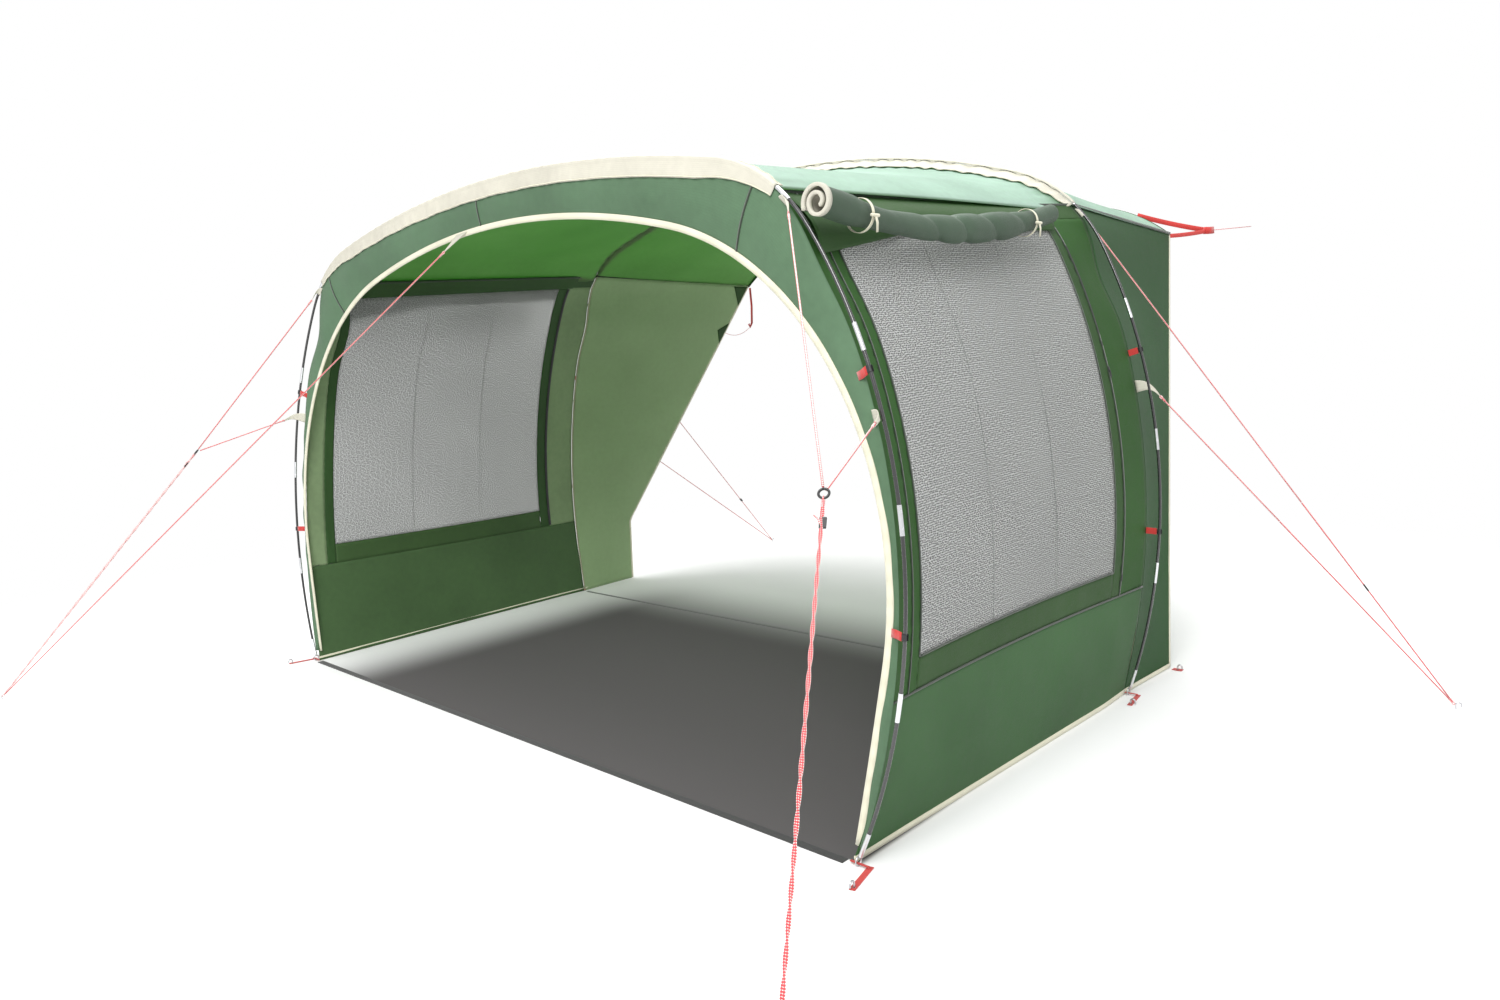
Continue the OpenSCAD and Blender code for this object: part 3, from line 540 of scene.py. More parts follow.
def hood_roof_point(u, v):
    s = 2 * u - 1
    a = rear_at(s * REAR_SEAM_S, POLE_TO_ROOF)
    rise = (HOOD_CROWN_Z - HOOD_CORNER.z) * (1 - abs(s) ** HOOD_POWER)
    b = Vector((s * HOOD_CORNER.x, HOOD_CORNER.y, HOOD_CORNER.z + rise))
    p = mix(a, b, v)
    sag = HOOD_SAG * 4 * v * (1 - v) * (1 - s * s)
    pucker = gather(s * REAR_SEAM_S, v * HOOD_L, 0.09, 0.08, 0.004)
    crease = 0.010 * ripple((p.x, p.y * 0.4, 0), 2.6, 7.7) * v * (1.3 - v)
    return p + Vector((0, 0, pucker + crease - sag))


settle(grid("hood_roof_cloth", hood_roof_point, 130, 44, [ROOF, UNDER], flip=True),
       "ground", "green_cloth", ["hood_roof"])


def hood_side_point(u, v):
    a = rear_edge(max(v * SEAM_Z[1], NEAR_GROUND), 0.0015)
    b = hood_edge(max(v * HOOD_CORNER.z, NEAR_GROUND))
    p = mix(a, b, u)
    body = sin(pi * u) * sin(pi * min(v * 1.05, 1))
    pull = HOOD_DRAW * 4 * u * (1 - u) * max(0.0, sin(pi * v)) ** 0.7
    # folds that fan out from the top corner, and a few soft hollows
    down, back = HOOD_CORNER.z - p.z, HOOD_CORNER.y - p.y
    reach = sqrt(down * down + back * back)
    fan = sin(15.0 * math.atan2(back, down + 0.05) + 2.0 * ripple((0, p.y, p.z), 1.6, 2.2))
    fold = 0.0075 * fan * math.exp(-reach / 0.9) * min(reach / 0.25, 1.0)
    hollow = 0.009 * ripple((0, p.y, p.z), 1.9, 1.9)
    return p - Vector((pull + (fold + hollow) * body, 0, 0))


def build_hood_side(side, flip):
    out = flip(OUTSIDE)
    settle(grid(f"{side}_hood_cloth", lambda u, v: flip(hood_side_point(u, v)), 44, 84,
                [HOOD, HOOD_LINING], flip=side == "right"), "ground", "green_cloth", [f"{side}_hood_side"])

    def edge(name, steps, point, width, thick, material, slot):
        path = [flip(point(i / steps)) for i in range(steps + 1)]
        sewn(f"{side}_{name}", path, out, width, thick, material, "ground", slot)

    edge("hood_edge_tape", 60, lambda t: hood_edge(HOOD_CORNER.z * t) + Vector((0, 0.002, 0.003)),
         0.014, 0.0036, TAPE, "cream_tape")
    edge("hood_roof_seam", 30, lambda t: hood_side_point(t, 1.0) + Vector((0.004, 0, 0.002)),
         0.012, 0.003, THREAD, "dark_cloth")
    edge("rear_leg_tape", 60, lambda t: hood_side_point(0.004, t) - Vector((0.004, 0, 0)),
         0.008, 0.003, TAN_TAPE, "cream_tape")
    edge("hood_hem_tape", 20, lambda t: hood_side_point(t, 0) + Vector((0.002, 0, 0.010)),
         0.018, 0.0036, TAPE, "cream_tape")


both_sides(build_hood_side)
rear_hem = [hood_roof_point(i / 90, 1.0) + Vector((0, 0.001, -0.006)) for i in range(91)]
sewn("hood_rear_hem_tape", rear_hem, -FRONTWARD, 0.016, 0.0036, HOOD, "ground", "green_cloth")

# ------------ side walls
NET_SEAMS_V, ZIP_TOP_Z, SEAM_THICK = (0.34, 0.59), 1.855, 0.0026


def wall_sheet(name, side, flip, v0, v1, low, high, nu, nv, materials, wrinkle):
    """Piece of a side wall; low and high are heights at the front and the rear arch."""
    def point(u, t):
        v = mix(v0, v1, u)
        z = mix(mix(low[0], low[1], v), mix(high[0], high[1], v), t)
        p = wall_at(max(z, NEAR_GROUND), v)
        return flip(p + Vector((wrinkle(u, t, p), 0, 0)))
    return grid(name, point, nu, nv, materials, flip=side == "right")


def strip_wrinkle(along_z, seed, gathers=1.0):
    """Uneven gathers across a strip, deepest at its edges, and slanting folds."""
    def height(u, t, p):
        run, side = (p.z, u) if along_z else (p.y, t)
        wave = sin(2 * pi * (run / 0.047 + 1.7 * ripple((run, 0, 0), 4.0, seed)))
        depth = 0.0022 * gathers * (0.55 + 0.45 * ripple((run, 0, 0), 6.0, seed + 3.0))
        slant = sin(2 * pi * (run + 0.09 * side) / 0.21 + 3.0 * ripple((run, 0, 0), 2.0, seed))
        fold = 0.0026 * slant * max(0.0, 0.4 + ripple((run, 0.1, 0), 2.4, seed + 5.0))
        return depth * wave * (0.15 + 0.85 * abs(2 * side - 1) ** 2) + fold * sin(pi * side)
    return height


def panel_wrinkle(u, t, p):
    soft = 0.009 * ripple((0, p.y, p.z * 0.6), 3.0, 3.3)
    slant = 0.0018 * sin(2 * pi * (p.y + 0.8 * p.z) / 0.33 + 2.0 * ripple((0, p.y, 0), 2.0, 6.1))
    return (soft + slant) * sin(pi * t)


def net_wrinkle(u, t, p):
    return 0.005 * ripple((0, p.y, p.z * 0.7), 2.6, 8.2) * sin(pi * u) * sin(pi * t)


def build_wall(side, flip):
    out = flip(OUTSIDE)
    v0, v1 = WINDOW_V

    def piece(node, slot, name, *shape):
        settle(wall_sheet(f"{side}_{name}", side, flip, *shape), "ground", slot, [f"{side}_{node}"])

    gathers = strip_wrinkle(True, 1.0)
    piece("lower_panel", "dark_cloth", "lower_panel_cloth", 0, 1, (0.0, 0.0), PANEL_Z, 110, 30,
          [PANEL, PANEL_LINING], panel_wrinkle)
    for shape in (
            ("front_strip_cloth", 0, FRONT_STRIP_V, PANEL_Z, SEAM_Z, 6, 110, [STRIP, LINING], gathers),
            ("front_border_cloth", FRONT_STRIP_V, v0, PANEL_Z, SEAM_Z, 6, 110, [STRIP, BORDER], gathers),
            ("rear_border_cloth", v1, BORDER_END_V, PANEL_Z, WINDOW_HIGH, 6, 100, [BORDER],
             strip_wrinkle(True, 2.0)),
            ("sill_cloth", v0, v1, PANEL_Z, WINDOW_LOW, 100, 6, [BORDER, SILL_LINING],
             strip_wrinkle(False, 3.0, 0.25)),
            ("head_cloth", v0, 1, WINDOW_HIGH, SEAM_Z, 100, 12, [BORDER], strip_wrinkle(False, 4.0, 0.4))):
        piece("window_border", "dark_cloth", *shape)
    piece("window_mesh", "net", "window_net", v0, v1, WINDOW_LOW, WINDOW_HIGH, 60, 60, [NET], net_wrinkle)

    def level(name, va, vb, heights, width, above=0.0022, material=THREAD, slot="dark_cloth",
              thick=SEAM_THICK):
        """Seam or tape along the wall at the given heights at the front and the rear."""
        path = []
        for i in range(61):
            v = mix(va, vb, i / 60)
            path.append(flip(wall_at(mix(heights[0], heights[1], v), v) + Vector((above, 0, 0))))
        sewn(f"{side}_{name}", path, out, width, thick, material, "ground", slot)

    def upright(name, v, low, high, width, thick=SEAM_THICK, above=0.0022, material=THREAD,
                slot="dark_cloth"):
        """Seam up the wall at part v of its length."""
        path = []
        for i in range(61):
            z = mix(mix(low[0], low[1], v), mix(high[0], high[1], v), i / 60)
            path.append(flip(wall_at(z, v) + Vector((above, 0, 0))))
        sewn(f"{side}_{name}", path, out, width, thick, material, "ground", slot)

    level("wall_hem_tape", 0, 1, (0.011, 0.011), 0.020, 0.002, TAPE, "cream_tape", 0.0036)
    level("panel_seam", 0, 1, PANEL_Z, 0.007)
    level("sill_seam", v0, v1, WINDOW_LOW, 0.006)
    level("head_seam", v0, v1, WINDOW_HIGH, 0.006)
    level("eave_seam", 0, 1, (SEAM_Z[0] - 0.002, SEAM_Z[1] - 0.002), 0.012, 0.002, thick=0.003)
    upright("window_front_seam", v0, WINDOW_LOW, WINDOW_HIGH, 0.006)
    upright("window_rear_seam", v1, WINDOW_LOW, WINDOW_HIGH, 0.006)
    upright("front_stitch", FRONT_STRIP_V, PANEL_Z, SEAM_Z, 0.005, 0.002)
    for label, v in zip("ab", NET_SEAMS_V):
        upright(f"net_seam_{label}", v, WINDOW_LOW, WINDOW_HIGH, 0.003, 0.0012, 0.0015, PALE_THREAD, "net")
    upright("rear_border_edge", BORDER_END_V, PANEL_Z, WINDOW_HIGH, 0.010, 0.003)

    def strip_point(u, t):
        top = mix(WINDOW_HIGH[0], WINDOW_HIGH[1], mix(ZIP_V, 1.0, u)) + 0.004
        z = mix(PANEL_Z[1] + 0.001, top, t)
        p = mix(zip_line(z) - Vector((0, 0.003, 0)), rear_edge(z), u)
        return flip(p + Vector((0.004 * ripple((0, p.y, p.z * 0.8), 7.0, 6.0) * sin(pi * u), 0, 0)))

    settle(grid(f"{side}_zip_strip_cloth", strip_point, 10, 80, [STRIP, LINING], flip=side == "right"),
           "rear_arch", "green_cloth", ["zip_strips"])
    behind = Vector((-0.003, 0.001, 0))
    zip_tape = [flip(zip_line(mix(PANEL_Z[1] + 0.008, ZIP_TOP_Z, i / 70)) + behind) for i in range(71)]
    sewn(f"{side}_zip_tape", zip_tape, out, 0.017, 0.0016, BLACK_WEB, "rear_arch", "black_plastic")


both_sides(build_wall)

# ------------ fascia, sleeves and bound edge
FRONT_L, OPENING_L = half_length(FRONT), half_length(OPENING)
FASCIA_END, EDGE_STEPS = 0.985, 220


def fascia_point(u, v):
    s = (2 * u - 1) * FASCIA_END
    a, b = front_at(s * FRONT_L, 0.004), opening_at(s * OPENING_L, 0.0, OPENING_BACK)
    z = max(a.z, 0.0)
    draw = min(0.034, (b - a).length / 2) * (edge_inset(z) - EDGE_SEWN) / EDGE_DRAW
    a = front_at(s * FRONT_L, 0.004 + draw, set_back(z) - 0.003)
    p = mix(a, b, v)
    width = (b - a).length
    full = 0.016 * min(width / 0.2, 1.0) * sin(pi * v)
    wave = 0.006 * ripple((p.x, 0, p.z), 4.0, 5.2) * sin(pi * v)
    pull = 0.004 * sin(2 * pi * s * FRONT_L / 0.21) * v * (1 - v) * 3
    return p - Vector((0, full + wave + pull, 0))


settle(grid("front_fascia_cloth", fascia_point, 240, 16, [FASCIA]),
       "front_arch", "dark_cloth", ["front_fascia"])
edge = [opening_at((2 * i / EDGE_STEPS - 1) * FASCIA_END * OPENING_L, 0.006, OPENING_BACK - 0.001)
        for i in range(EDGE_STEPS + 1)]
sewn("opening_edge_tape", edge, FRONTWARD, 0.022, 0.0050, TAPE,
     "front_arch", "cream_tape", ["front_binding"])

for name, u0, u1 in (("middle", 0.489, 0.486), ("right", 0.702, 0.704), ("left", 0.298, 0.296)):
    seam = [fascia_point(mix(u0, u1, i / 12), mix(0.02, 0.98, i / 12)) - Vector((0, 0.002, 0))
            for i in range(13)]
    sewn(f"fascia_seam_{name}", seam, FRONTWARD, 0.007, 0.0022, THREAD, "front_arch", "dark_cloth")

# Length of a sleeve's flaps, how far they lie off the cloth, and the part of the width round the pole
SLEEVE_FLAP, FLAP_LIFT, SLEEVE_R = 0.055, 0.0075, 0.0098
WRAP_FROM, WRAP_TO, WRAP = 0.35, 0.65, 0.30


def sleeve(name, at, length, front_flap, rear_flap, node, body):
    """Cream sleeve round the pole with a flap sewn down on each side; a flap is f(s, distance)."""
    def point(u, v):
        s = (2 * u - 1) * length
        taper = min(1.0, 0.25 + (length - abs(s)) / 0.42) ** 0.7
        wrinkle = 0.0018 * sin(2 * pi * (s / 0.064 + 0.6 * ripple((s, 0, 0), 3.0, 2.0)))
        if WRAP_FROM <= v <= WRAP_TO:
            a = pi * (v - WRAP_FROM) / WRAP
            r = SLEEVE_R + wrinkle * 0.4
            return at(s, -r * sin(a) + 0.002, -r * cos(a))
        t = (WRAP_FROM - v if v < WRAP_FROM else v - WRAP_TO) / WRAP_FROM
        flap = front_flap if v < WRAP_FROM else rear_flap
        return flap(s, SLEEVE_FLAP * taper * t + 0.002, wrinkle * t)

    settle(grid(name, point, 260, 26, [CREAM]), body, "cream_tape", [node])
    for label, v in (("front", 0.03), ("rear", 0.97)):
        on_face = label == "front" and node == "front_sleeve"
        up = [FRONTWARD if on_face else outward(at, (2 * i / 160 - 1) * length) for i in range(161)]
        path = [point(i / 160, v) + n * 0.0014 for i, n in enumerate(up)]
        sewn(f"{name}_{label}_stitch", path, up, 0.003, 0.0012, TAPE, body, "cream_tape")


def on_fascia(s, distance, wrinkle):
    u = (s / (FRONT_L * FASCIA_END) + 1) / 2
    width = (fascia_point(u, 1.0) - fascia_point(u, 0.0)).length
    return fascia_point(u, min(distance / width, 1.0)) - Vector((0, 0.0045 + wrinkle, 0))


def outward(at, s):
    """Direction away from the inside of the arch at distance s from its middle."""
    return (at(s, 0.0) - at(s, 0.010)).normalized()


def on_roof(at, length, front):
    def flap(s, distance, wrinkle):
        v = distance / 1.6
        p = roof_point((s / length + 1) / 2, v if front else 1 - v)
        return p + outward(at, s) * (FLAP_LIFT + wrinkle)
    return flap


def on_hood(s, distance, wrinkle):
    p = hood_roof_point((s / REAR_SEAM_S + 1) / 2, distance / 1.25)
    return p + outward(rear_at, s) * (FLAP_LIFT + wrinkle)


sleeve("front_sleeve_cloth", front_at, FRONT_SEAM_S, on_fascia, on_roof(front_at, FRONT_SEAM_S, True),
       "front_sleeve", "front_arch")
sleeve("rear_sleeve_cloth", rear_at, REAR_SEAM_S, on_roof(rear_at, REAR_SEAM_S, False), on_hood,
       "rear_sleeve", "rear_arch")


# ------------ rolled window covers
def roll_axis(t, side):
    return mix(ROLL_FRONT[side], ROLL_REAR, t) - Vector((0, 0, ROLL_SAG * 4 * t * (1 - t)))


# Part of the roll's length and its radius there: pinched at the ties, slack behind the first and full
# before the last
ROLL_SHAPE = ((0, 0.049), (0.10, 0.051), (0.14, 0.042), (0.20, 0.038), (0.36, 0.043),
              (0.55, 0.052), (0.75, 0.053), (0.86, 0.041), (1, 0.038))
ROLL_TURNS, ROLL_CORE, ROLL_MAX, TIES_AT = 1.7, 0.014, 0.062, (0.14, 0.86)


def roll_size(t):
    return float(np.interp(t, *zip(*ROLL_SHAPE)))


def build_roll(side, flip):
    out = flip(OUTSIDE)

    def point(u, v):
        """Cloth of the roll: u winds out from its core, v runs along it."""
        a = 2 * pi * ROLL_TURNS * u - 0.9
        c = roll_axis(v, side)
        r = mix(ROLL_CORE, roll_size(v), u ** 0.9)
        lump = 0.0050 * ripple((0.6 * cos(a), v * 6.0, 0.6 * sin(a)), 1.0, 9.0)
        turn = 2 * pi * (v * 7.5 + a / (2 * pi)) + 2.5 * ripple((0, v * 4.0, 0), 1.0, 3.0)
        crease = (1 - abs(sin(turn / 2))) ** 2
        deep = 0.0015 + 0.0165 * math.exp(-((v - 0.60) / 0.22) ** 4)
        r = min(r + (lump + deep * (0.4 - crease)) * u, ROLL_MAX)
        return flip(c + Vector((r * cos(a), 0, r * sin(a))))

    settle(grid(f"{side}_cover_roll_cloth", point, 130, 150, [ROLL, CREAM], 0.0030, side == "left"),
           "ground", "dark_cloth", [f"{side}_cover_roll"])
    spiral = [point(i / 90, 0.0) for i in range(91)]
    ups = [(p - flip(ROLL_FRONT[side])).normalized() for p in spiral]
    sewn(f"{side}_cover_end_tape", spiral, ups, 0.016, 0.0100, CREAM, "ground", "cream_tape")
    for k, t in enumerate(TIES_AT):
        c, band, r = roll_axis(t, side), [], roll_size(t) + 0.005
        for i in range(49):
            a = 2 * pi * i / 48
            band.append(flip(c + Vector((r * cos(a), 0, r * sin(a)))))
        ups = [(p - flip(c)).normalized() for p in band]
        tie = sweep(f"{side}_cover_tie_{k}", band, flat(0.011, 0.002), TAPE, ups)
        knot = flip(c + Vector((r + 0.005, 0, -0.006)))
        toggle = sweep("toggle", [knot + Vector((0, y, 0)) for y in (-0.017, -0.014, 0, 0.014, 0.017)],
                       disc(0.0048, 14), TAPE)
        tail = [knot + flip(Vector(step)) for step in ((0.002, 0, 0), (0.003, 0.006, -0.02),
                                                       (-0.002, 0.010, -0.045))]
        end = sweep("tail", tail, flat(0.010, 0.0018), TAPE, out)
        settle(join(f"{side}_cover_tie_{k}", [tie, toggle, end]), "ground", "cream_tape", ["cover_ties"])

    def hanging(u, v):
        """Loose fold of the cover between the eave and the roll, longest at the front."""
        y = mix(0.03, 1.30, u)
        w = min(y / (REAR_Y - ZIP_BACK), 0.87)
        top = wall_at(mix(SEAM_Z[0], SEAM_Z[1], w) - 0.010, w) + Vector((0.006, 0, 0))
        drop = mix(0.175, 0.10, min(u / 0.4, 1.0))
        low = wall_at(top.z - drop, w) + Vector((0.012, 0, 0))
        belly = 0.030 * sin(pi * v) + 0.005 * ripple((0, y * 5.0, v), 1.0, 4.0) * v
        return flip(mix(top, low, v) + Vector((belly, 0, 0)))

    settle(grid(f"{side}_cover_apron", hanging, 80, 14, [BORDER], flip=side == "left"),
           "ground", "dark_cloth")


both_sides(build_roll)

# ------------ hood straps and patches
YOKE, YOKE_END = Vector((1.519, 3.280, 1.911)), Vector((1.620, 3.600, 1.937))
LEFT_CORNER = Vector((-1.404, 3.058, 1.880))


def strap(name, points, width, thick=0.0020, up=UP):
    return sweep(name, points, flat(width, thick), RED, up)


def hang(a, b, sag, steps=16):
    path = []
    for i in range(steps + 1):
        t = i / steps
        path.append(a.lerp(b, t) - Vector((0, 0, sag * 4 * t * (1 - t))))
    return path


BROADSIDE = Vector((0.75, -0.66, 0.0))
top_leg = strap("yoke_top", hang(Vector((1.255, 3.045, 2.003)), YOKE, 0.006), 0.024, up=BROADSIDE)
low_leg = strap("yoke_low", hang(Vector((1.412, 3.045, 1.885)), YOKE, 0.004), 0.020, up=BROADSIDE)
wrap = strap("yoke_wrap", [YOKE + Vector((-0.014, -0.024, 0)), YOKE, YOKE + Vector((0.010, 0.026, 0.002))],
             0.034, 0.016, up=BROADSIDE)
settle(join("right_hood_yoke", [top_leg, low_leg, wrap]), "ground", "red_webbing", ["hood_straps"])
settle(cord("right_yoke_cord", [YOKE, YOKE_END], 0.002), "ground", "guy_cord")
loop = [LEFT_CORNER + Vector(step) for step in (
    (0, 0, 0), (0.004, 0.004, -0.12), (0, 0.002, -0.235), (-0.012, -0.004, -0.262), (-0.022, -0.006, -0.240))]
settle(strap("left_hood_strap", loop, 0.018, up=-FRONTWARD), "ground", "red_webbing", ["hood_straps"])
tie_points = hang(LEFT_CORNER + Vector((-0.006, 0, -0.255)), Vector((-1.500, 2.860, 1.600)), 0.045)
settle(cord("left_hood_cord", tie_points, 0.0016), "ground", "guy_cord")


def patch(name, corners, flip):
    """Three-cornered reinforcement sewn on the hood side: corners as (part of depth, part of height)."""
    a, b, c = corners

    def surface(s, t):
        i, j = s * (1 - t), t
        u = a[0] + (b[0] - a[0]) * i + (c[0] - a[0]) * j
        v = a[1] + (b[1] - a[1]) * i + (c[1] - a[1]) * j
        return flip(hood_side_point(min(u, 0.998), min(v, 0.999)) - Vector((0.0022, 0, 0)))

    settle(grid(name, surface, 8, 8, [BORDER], 0.001), "ground", "dark_cloth")


def build_patches(side, flip):
    patch(f"{side}_hood_top_patch", ((0.998, 0.995), (0.90, 0.995), (0.998, 0.93)), flip)
    patch(f"{side}_hood_low_patch", ((0.998, 0.87), (0.93, 0.845), (0.998, 0.80)), flip)


both_sides(build_patches)

# ------------ guy lines
RING = Vector((1.930, -0.360, 1.094))
FRONT_PEG = Vector((2.400, -1.180, 0.010))
REAR_LEFT_PEG, REAR_RIGHT_PEG = Vector((-1.780, 3.575, 0.010)), Vector((2.750, 2.220, 0.010))
CENTRE_TAB, CENTRE_TAB_L = Vector((-0.220, 0.139, 1.936)), 0.100
SHOULDER_S = (1.508, 1.620, 1.740)
TAB_GAP, TAB_L, RING_R, TAIL_L = 0.0075, 0.060, 0.012, 0.900
LINE_R = 0.0028
# Heights of the lower tabs (front, rear) and of the front pole clips, and the path of a clip's strap as
# (inset from the pole, distance behind it)
LOW_TAB_Z, CLIP_Z = (1.238, 1.224), (1.354, 0.662)
CLIP_STRAP = ((0.0095, -0.002), (0.022, 0.004), (0.036, 0.011), (0.052, 0.014))


def leg_s(arcs, z):
    """Distance from the middle of the arch at which its leg passes height z."""
    c, r, a2, _ = arcs[2]
    return arc_length(arcs[0]) + arc_length(arcs[1]) + (math.acos((z - c[1]) / r) - a2) * r


FRONT_LOW_S, REAR_LOW_S = leg_s(FRONT, LOW_TAB_Z[0]), leg_s(REAR, LOW_TAB_Z[1])
FRONT_TOP, FRONT_LOW = front_at(SHOULDER_S[0]), front_at(FRONT_LOW_S)
REAR_TOP, REAR_LOW = rear_at(SHOULDER_S[1]), rear_at(REAR_LOW_S)
LEFT_TOP = rear_at(SHOULDER_S[2])


def toward(a, b, d):
    return a + (b - a).normalized() * d


def eye(name, centre, direction, radius=0.009):
    """Small loop of cord with a whipped knot, where a line is tied."""
    along = direction.normalized()
    up = UP if abs(along.z) < 0.9 else OUTSIDE
    side = along.cross(up).normalized()
    up = side.cross(along)
    path = [centre + along * (radius * cos(a) + radius) + up * radius * 0.7 * sin(a)
            for a in [2 * pi * i / 18 + pi for i in range(19)]]
    ring = sweep(name, path, disc(0.0018, 8), CORD, side)
    knot = sweep("knot", [centre + along * step for step in (-0.016, -0.010, -0.002, 0.001)],
                 disc(0.0042, 10), CORD, up)
    return join(name, [ring, knot])


def upper_line(name, tab_point, end, gap, tab_l=TAB_L):
    """Line with an eye, from the tip of a tab to gap short of end."""
    a = toward(tab_point, end, TAB_GAP + tab_l - 0.004)
    b = toward(end, tab_point, gap)
    parts = [cord(name, [a, b], LINE_R), eye("eye", toward(a, b, 0.012), a - b, 0.006)]
    settle(join(name, parts), "ground", "guy_cord", ["upper_guy_lines"])


def twisted(name, a, b, radius=0.0027, pitch=0.11):
    """Two strands laid round each other from a to b."""
    t = (b - a).normalized()
    side = t.cross(UP).normalized()
    up = side.cross(t)
    steps = int((b - a).length / 0.012)
    strands = []
    for phase in (0, pi):
        points = []
        for i in range(steps + 1):
            turn = 2 * pi * (b - a).length * i / steps / pitch + phase
            points.append(a.lerp(b, i / steps) + (side * cos(turn) + up * sin(turn)) * radius * 0.9)
        strands.append(sweep(name, points, disc(radius, 10), CORD, side))
    return join(name, strands)


def guy_tab(name, at, s, target, flip, back, body, node):
    """Cream tab sewn to the cloth edge, passed in front of the pole, its tip towards the line's end."""
    p = at(s)
    tip = toward(p, target, TAB_GAP + TAB_L)
    run = (at(s + 0.01) - at(s - 0.01)).normalized()
    inset = edge_inset(p.z) - 0.004

    def surface(u, v):
        off = -0.010 if v > 0.5 else mix(back, -0.010, v * 2)
        base = at(s + mix(-0.024, 0.024, u), inset * (1 - v), off)
        end = tip + run * mix(-0.003, 0.003, u)
        path = at(s + mix(-0.012, 0.012, u), -0.009, -0.006)
        return flip(mix(mix(base, path, v), mix(path, end, v), v))

    settle(grid(name, surface, 6, 14, [CREAM], 0.0018), body, "cream_tape", [node])


def front_fittings(side, flip):
    for k, z in enumerate(CLIP_Z):
        s = leg_s(FRONT, z)
        path = [front_at(s, *place) for place in CLIP_STRAP]
        pole = (front_at(s + 0.01) - front_at(s - 0.01)).normalized()
        steps = zip([path[0]] + path[:-1], path[1:] + [path[-1]])
        away = [flip(pole.cross((b - a).normalized())) for a, b in steps]
        sewn(f"front_{side}_clip_strap_{k}", [flip(q) for q in path], away, 0.024, 0.0022, RED,
             "front_arch", "red_webbing", ["front_clip_straps"])
    for label, s in (("top", SHOULDER_S[0]), ("low", FRONT_LOW_S)):
        back = set_back(front_at(s).z) - 0.006
        guy_tab(f"front_{side}_{label}_tab", front_at, s, RING, flip, back, "front_arch", "front_guy_tabs")


both_sides(front_fittings)
for label, s, target, flip in (
        ("right_top", SHOULDER_S[1], REAR_RIGHT_PEG, same),
        ("right_low", REAR_LOW_S, REAR_RIGHT_PEG, same),
        ("left_top", SHOULDER_S[2], mirror(REAR_LEFT_PEG), mirror),
        ("left_low", REAR_LOW_S, mirror(REAR_LEFT_PEG), mirror)):
    guy_tab(f"rear_{label}_tab", rear_at, s, target, flip, -0.006, "rear_arch", "rear_guy_tabs")


def centre_tab(u, v):
    tip = toward(CENTRE_TAB, mirror(FRONT_PEG), TAB_GAP + CENTRE_TAB_L)
    base = opening_at(-0.222 + mix(-0.038, 0.038, u), 0.002, OPENING_BACK - 0.004)
    return mix(base, tip + Vector((mix(-0.004, 0.004, u), 0, 0)), v)


settle(grid("front_centre_tab", centre_tab, 8, 10, [CREAM], 0.0018),
       "front_arch", "cream_tape", ["front_guy_tabs"])


def front_guys(side, flip):
    ring = flip(RING)
    upper_line(f"front_{side}_top_line", flip(FRONT_TOP), ring, RING_R + 0.005)
    upper_line(f"front_{side}_low_line", flip(FRONT_LOW), ring, RING_R + 0.005)
    peg = flip(FRONT_PEG)
    main = twisted(f"front_{side}_tail_cord", toward(peg, ring, 0.016), toward(ring, peg, RING_R + 0.004))
    knot = eye("eye", toward(ring, peg, RING_R + 0.006), ring - peg, 0.005)
    foot = eye("eye", toward(peg, ring, 0.018), peg - ring, 0.006)
    end = toward(ring, peg, 0.085)
    loose = [end + flip(Vector(step)) for step in ((0, 0, 0), (-0.010, 0.004, 0.016),
                                                   (-0.026, 0.010, 0.022))]
    spare = cord("spare", loose, 0.0020)
    settle(join(f"front_{side}_tail_cord", [main, knot, foot, spare]),
           f"front_{side}_tail", "guy_cord", [f"front_{side}_tail"])
    a = (flip(FRONT_TOP) - ring).normalized()
    b = (peg - ring).normalized()
    normal = a.cross(b).normalized()
    path = [ring + a * RING_R * cos(t) + normal.cross(a) * RING_R * sin(t)
            for t in [2 * pi * i / 28 for i in range(29)]]
    settle(sweep(f"front_{side}_ring", path, disc(0.0030, 12), PLASTIC, normal),
           f"front_{side}_tail", "black_plastic")


both_sides(front_guys)
upper_line("centre_line_cord", CENTRE_TAB, mirror(FRONT_PEG), 0.030, CENTRE_TAB_L)


def rear_guys(side, peg, top, flip):
    parts = []
    for label, p in (("top", flip(top)), ("low", flip(REAR_LOW))):
        upper_line(f"rear_{side}_{label}_line", p, peg, TAIL_L + 0.003)
        ends = [toward(peg, p, 0.016), toward(peg, p, TAIL_L)]
        parts.append(cord(f"rear_{side}_tail_cord", ends, LINE_R))
        parts.append(eye("eye", toward(peg, p, 0.018), peg - p, 0.006))
    settle(join(f"rear_{side}_tail_cord", parts), f"rear_{side}_tail", "guy_cord", [f"rear_{side}_tail"])


rear_guys("right", REAR_RIGHT_PEG, REAR_TOP, same)
rear_guys("left", REAR_LEFT_PEG, LEFT_TOP, mirror)

# ------------ CAD parts that stay
FINISH = {"foot_webbing": RED, "front_ground_strap": BLACK_WEB, "rear_ground_strap": GREY_WEB}
for part, finish in (("pole", POLE), ("ferrules", FERRULE), ("shock_cord", ELASTIC), ("foot_pins", STEEL),
                     ("clip_straps", RED), ("guy_tabs", CREAM)):
    FINISH[f"front_{part}"] = FINISH[f"rear_{part}"] = finish
for name, node in nodes.items():
    node.data.materials.clear()
    node.data.materials.append(FINISH.get(name) or (STEEL if name.endswith("_peg") else PLASTIC))

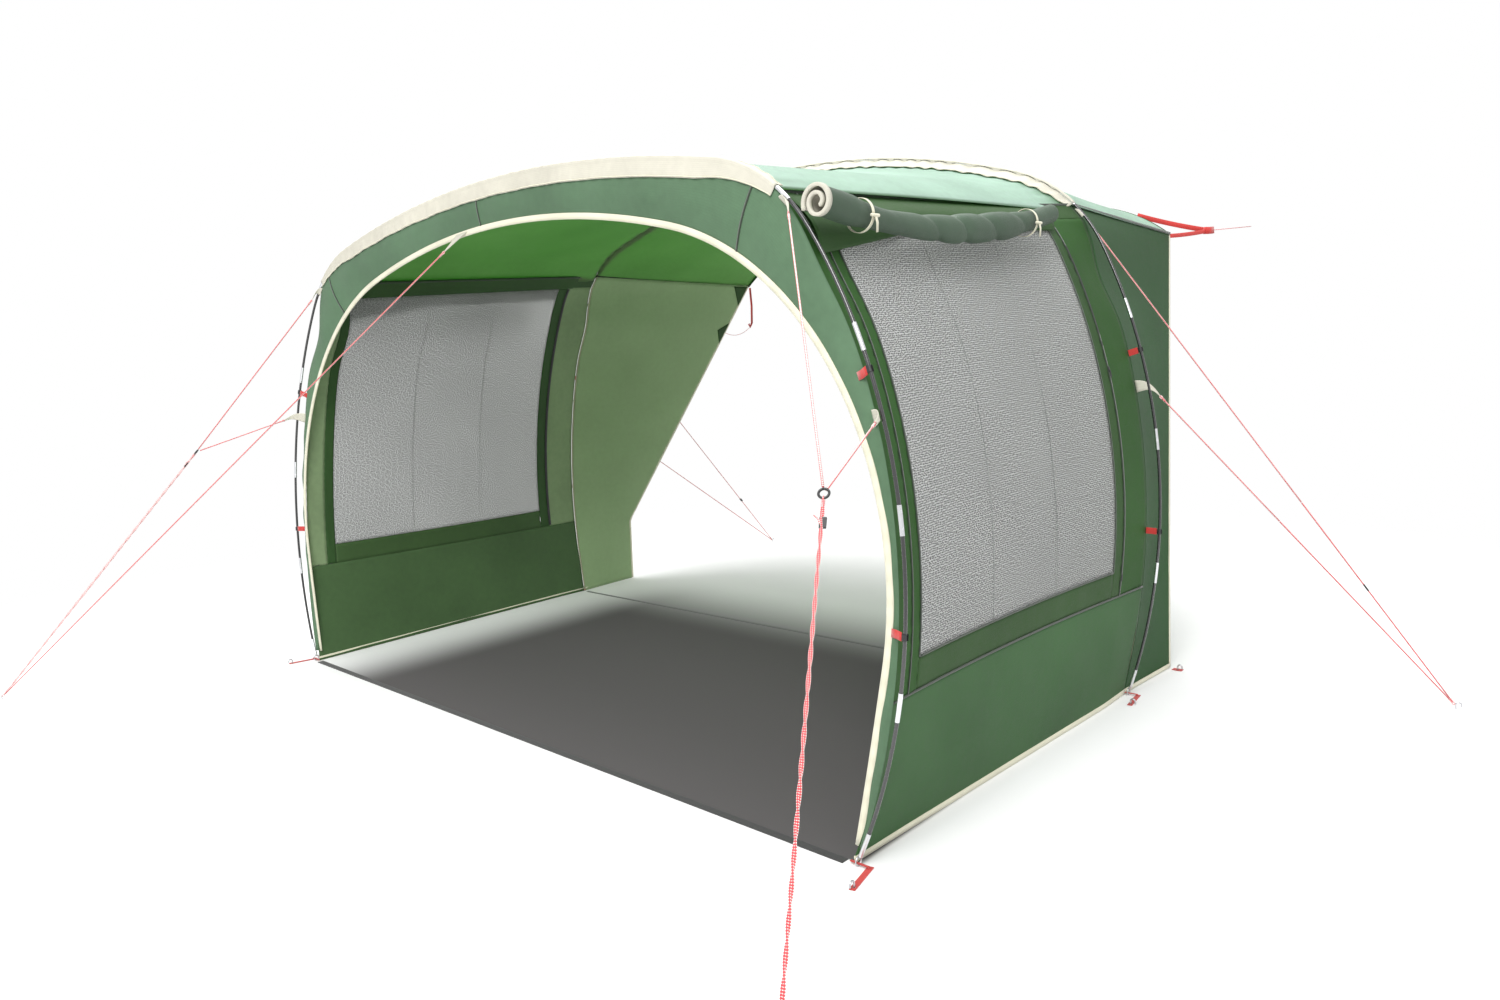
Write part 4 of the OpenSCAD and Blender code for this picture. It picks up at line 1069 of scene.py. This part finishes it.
# ------------ floor, light and camera
# Painted shadow on the ground inside: where each of its edges starts and is full, in X and Y
SHADE_FRONT, SHADE_REAR = (0.010, 0.020), (2.35, 1.45)
SHADE_LEFT, SHADE_RIGHT = (-1.68, -1.05), (1.715, 1.690)
PAINTED_SHADOW_COLOUR = (0.108, 0.102, 0.103)
FLOOR, FLOOR_FADE = 14, (3.0, 5.6)
floor_mesh = bpy.data.meshes.new("floor")
floor_mesh.from_pydata([(-FLOOR, -FLOOR, 0), (FLOOR, -FLOOR, 0), (FLOOR, FLOOR, 0), (-FLOOR, FLOOR, 0)],
                       [], [(0, 1, 2, 3)])
floor = bpy.data.objects.new("floor", floor_mesh)
bpy.context.scene.collection.objects.link(floor)
pale = Graph("floor_paint")
place = pale.coordinates("Object")
axes = pale.add("ShaderNodeSeparateXYZ", {0: place})
shade = 1.0
# mask of the painted shadow: full inside the shelter's footprint, soft towards its edges
for axis, limits in ((1, SHADE_FRONT), (1, SHADE_REAR), (0, SHADE_LEFT), (0, SHADE_RIGHT)):
    shade = pale.math("MULTIPLY", shade, pale.ramp(axes.outputs[axis], *limits, kind="SMOOTHSTEP"))
white = pale.blend(pale.noise(place, 3.0, 4.0), (0.86, 0.86, 0.86, 1), (0.90, 0.90, 0.90, 1))
pale.fill(pale.principled, {"Base Color": pale.blend(shade, white, rgba(PAINTED_SHADOW_COLOUR)), "Roughness": 0.9,
                            "Specular IOR Level": 0.1})
away = pale.add("ShaderNodeVectorMath", {0: place, 1: (0.3, 0.6, 0)}, operation="SUBTRACT").outputs[0]
far = pale.add("ShaderNodeVectorMath", {0: away}, operation="LENGTH").outputs["Value"]
clear = pale.add("ShaderNodeBsdfTransparent")
pale.finish(pale.shaders(pale.ramp(far, *FLOOR_FADE, kind="SMOOTHSTEP"), pale.principled, clear))
floor_mesh.materials.append(pale.material)

world = bpy.data.worlds.new("studio")
bpy.context.scene.world = world
world.use_nodes = True
sky = world.node_tree
ray = sky.nodes.new("ShaderNodeLightPath")
level = sky.nodes.new("ShaderNodeMapRange")
level.inputs["To Min"].default_value, level.inputs["To Max"].default_value = 0.95, 1.0
sky.links.new(ray.outputs["Is Camera Ray"], level.inputs["Value"])
sky.links.new(level.outputs[0], sky.nodes["Background"].inputs["Strength"])
sky.nodes["Background"].inputs["Color"].default_value = (1, 1, 1, 1)


def softbox(name, place, target, size, power):
    data = bpy.data.lights.new(name, "AREA")
    data.shape, data.size, data.energy = "SQUARE", size, power
    obj = bpy.data.objects.new(name, data)
    obj.location = place
    obj.rotation_euler = (Vector(target) - Vector(place)).to_track_quat("-Z", "Y").to_euler()
    bpy.context.scene.collection.objects.link(obj)


softbox("key_light", (3.5, -4.5, 6.5), (0, 0.8, 0.8), 4.0, 520)
softbox("top_light", (-1.0, 2.0, 7.0), (0, 1.2, 1.0), 5.0, 420)

# The photo's camera, solved from the two arches and the ground straps
camera_data = bpy.data.cameras.new("camera")
camera_data.sensor_width, camera_data.lens = 36.0, 23.84
camera_data.clip_end = 200
camera = bpy.data.objects.new("camera", camera_data)
bpy.context.scene.collection.objects.link(camera)
right, up, forward = (0.7323, 0.6790, -0.0525), (-0.0563, 0.1371, 0.9890), (-0.6787, 0.7213, -0.1386)
facing = Matrix((right, up, [-c for c in forward])).transposed().to_4x4()
camera.matrix_world = Matrix.Translation((3.281, -2.031, 1.388)) @ facing
bpy.context.scene.camera = camera
bpy.context.scene.view_settings.view_transform = "Standard"
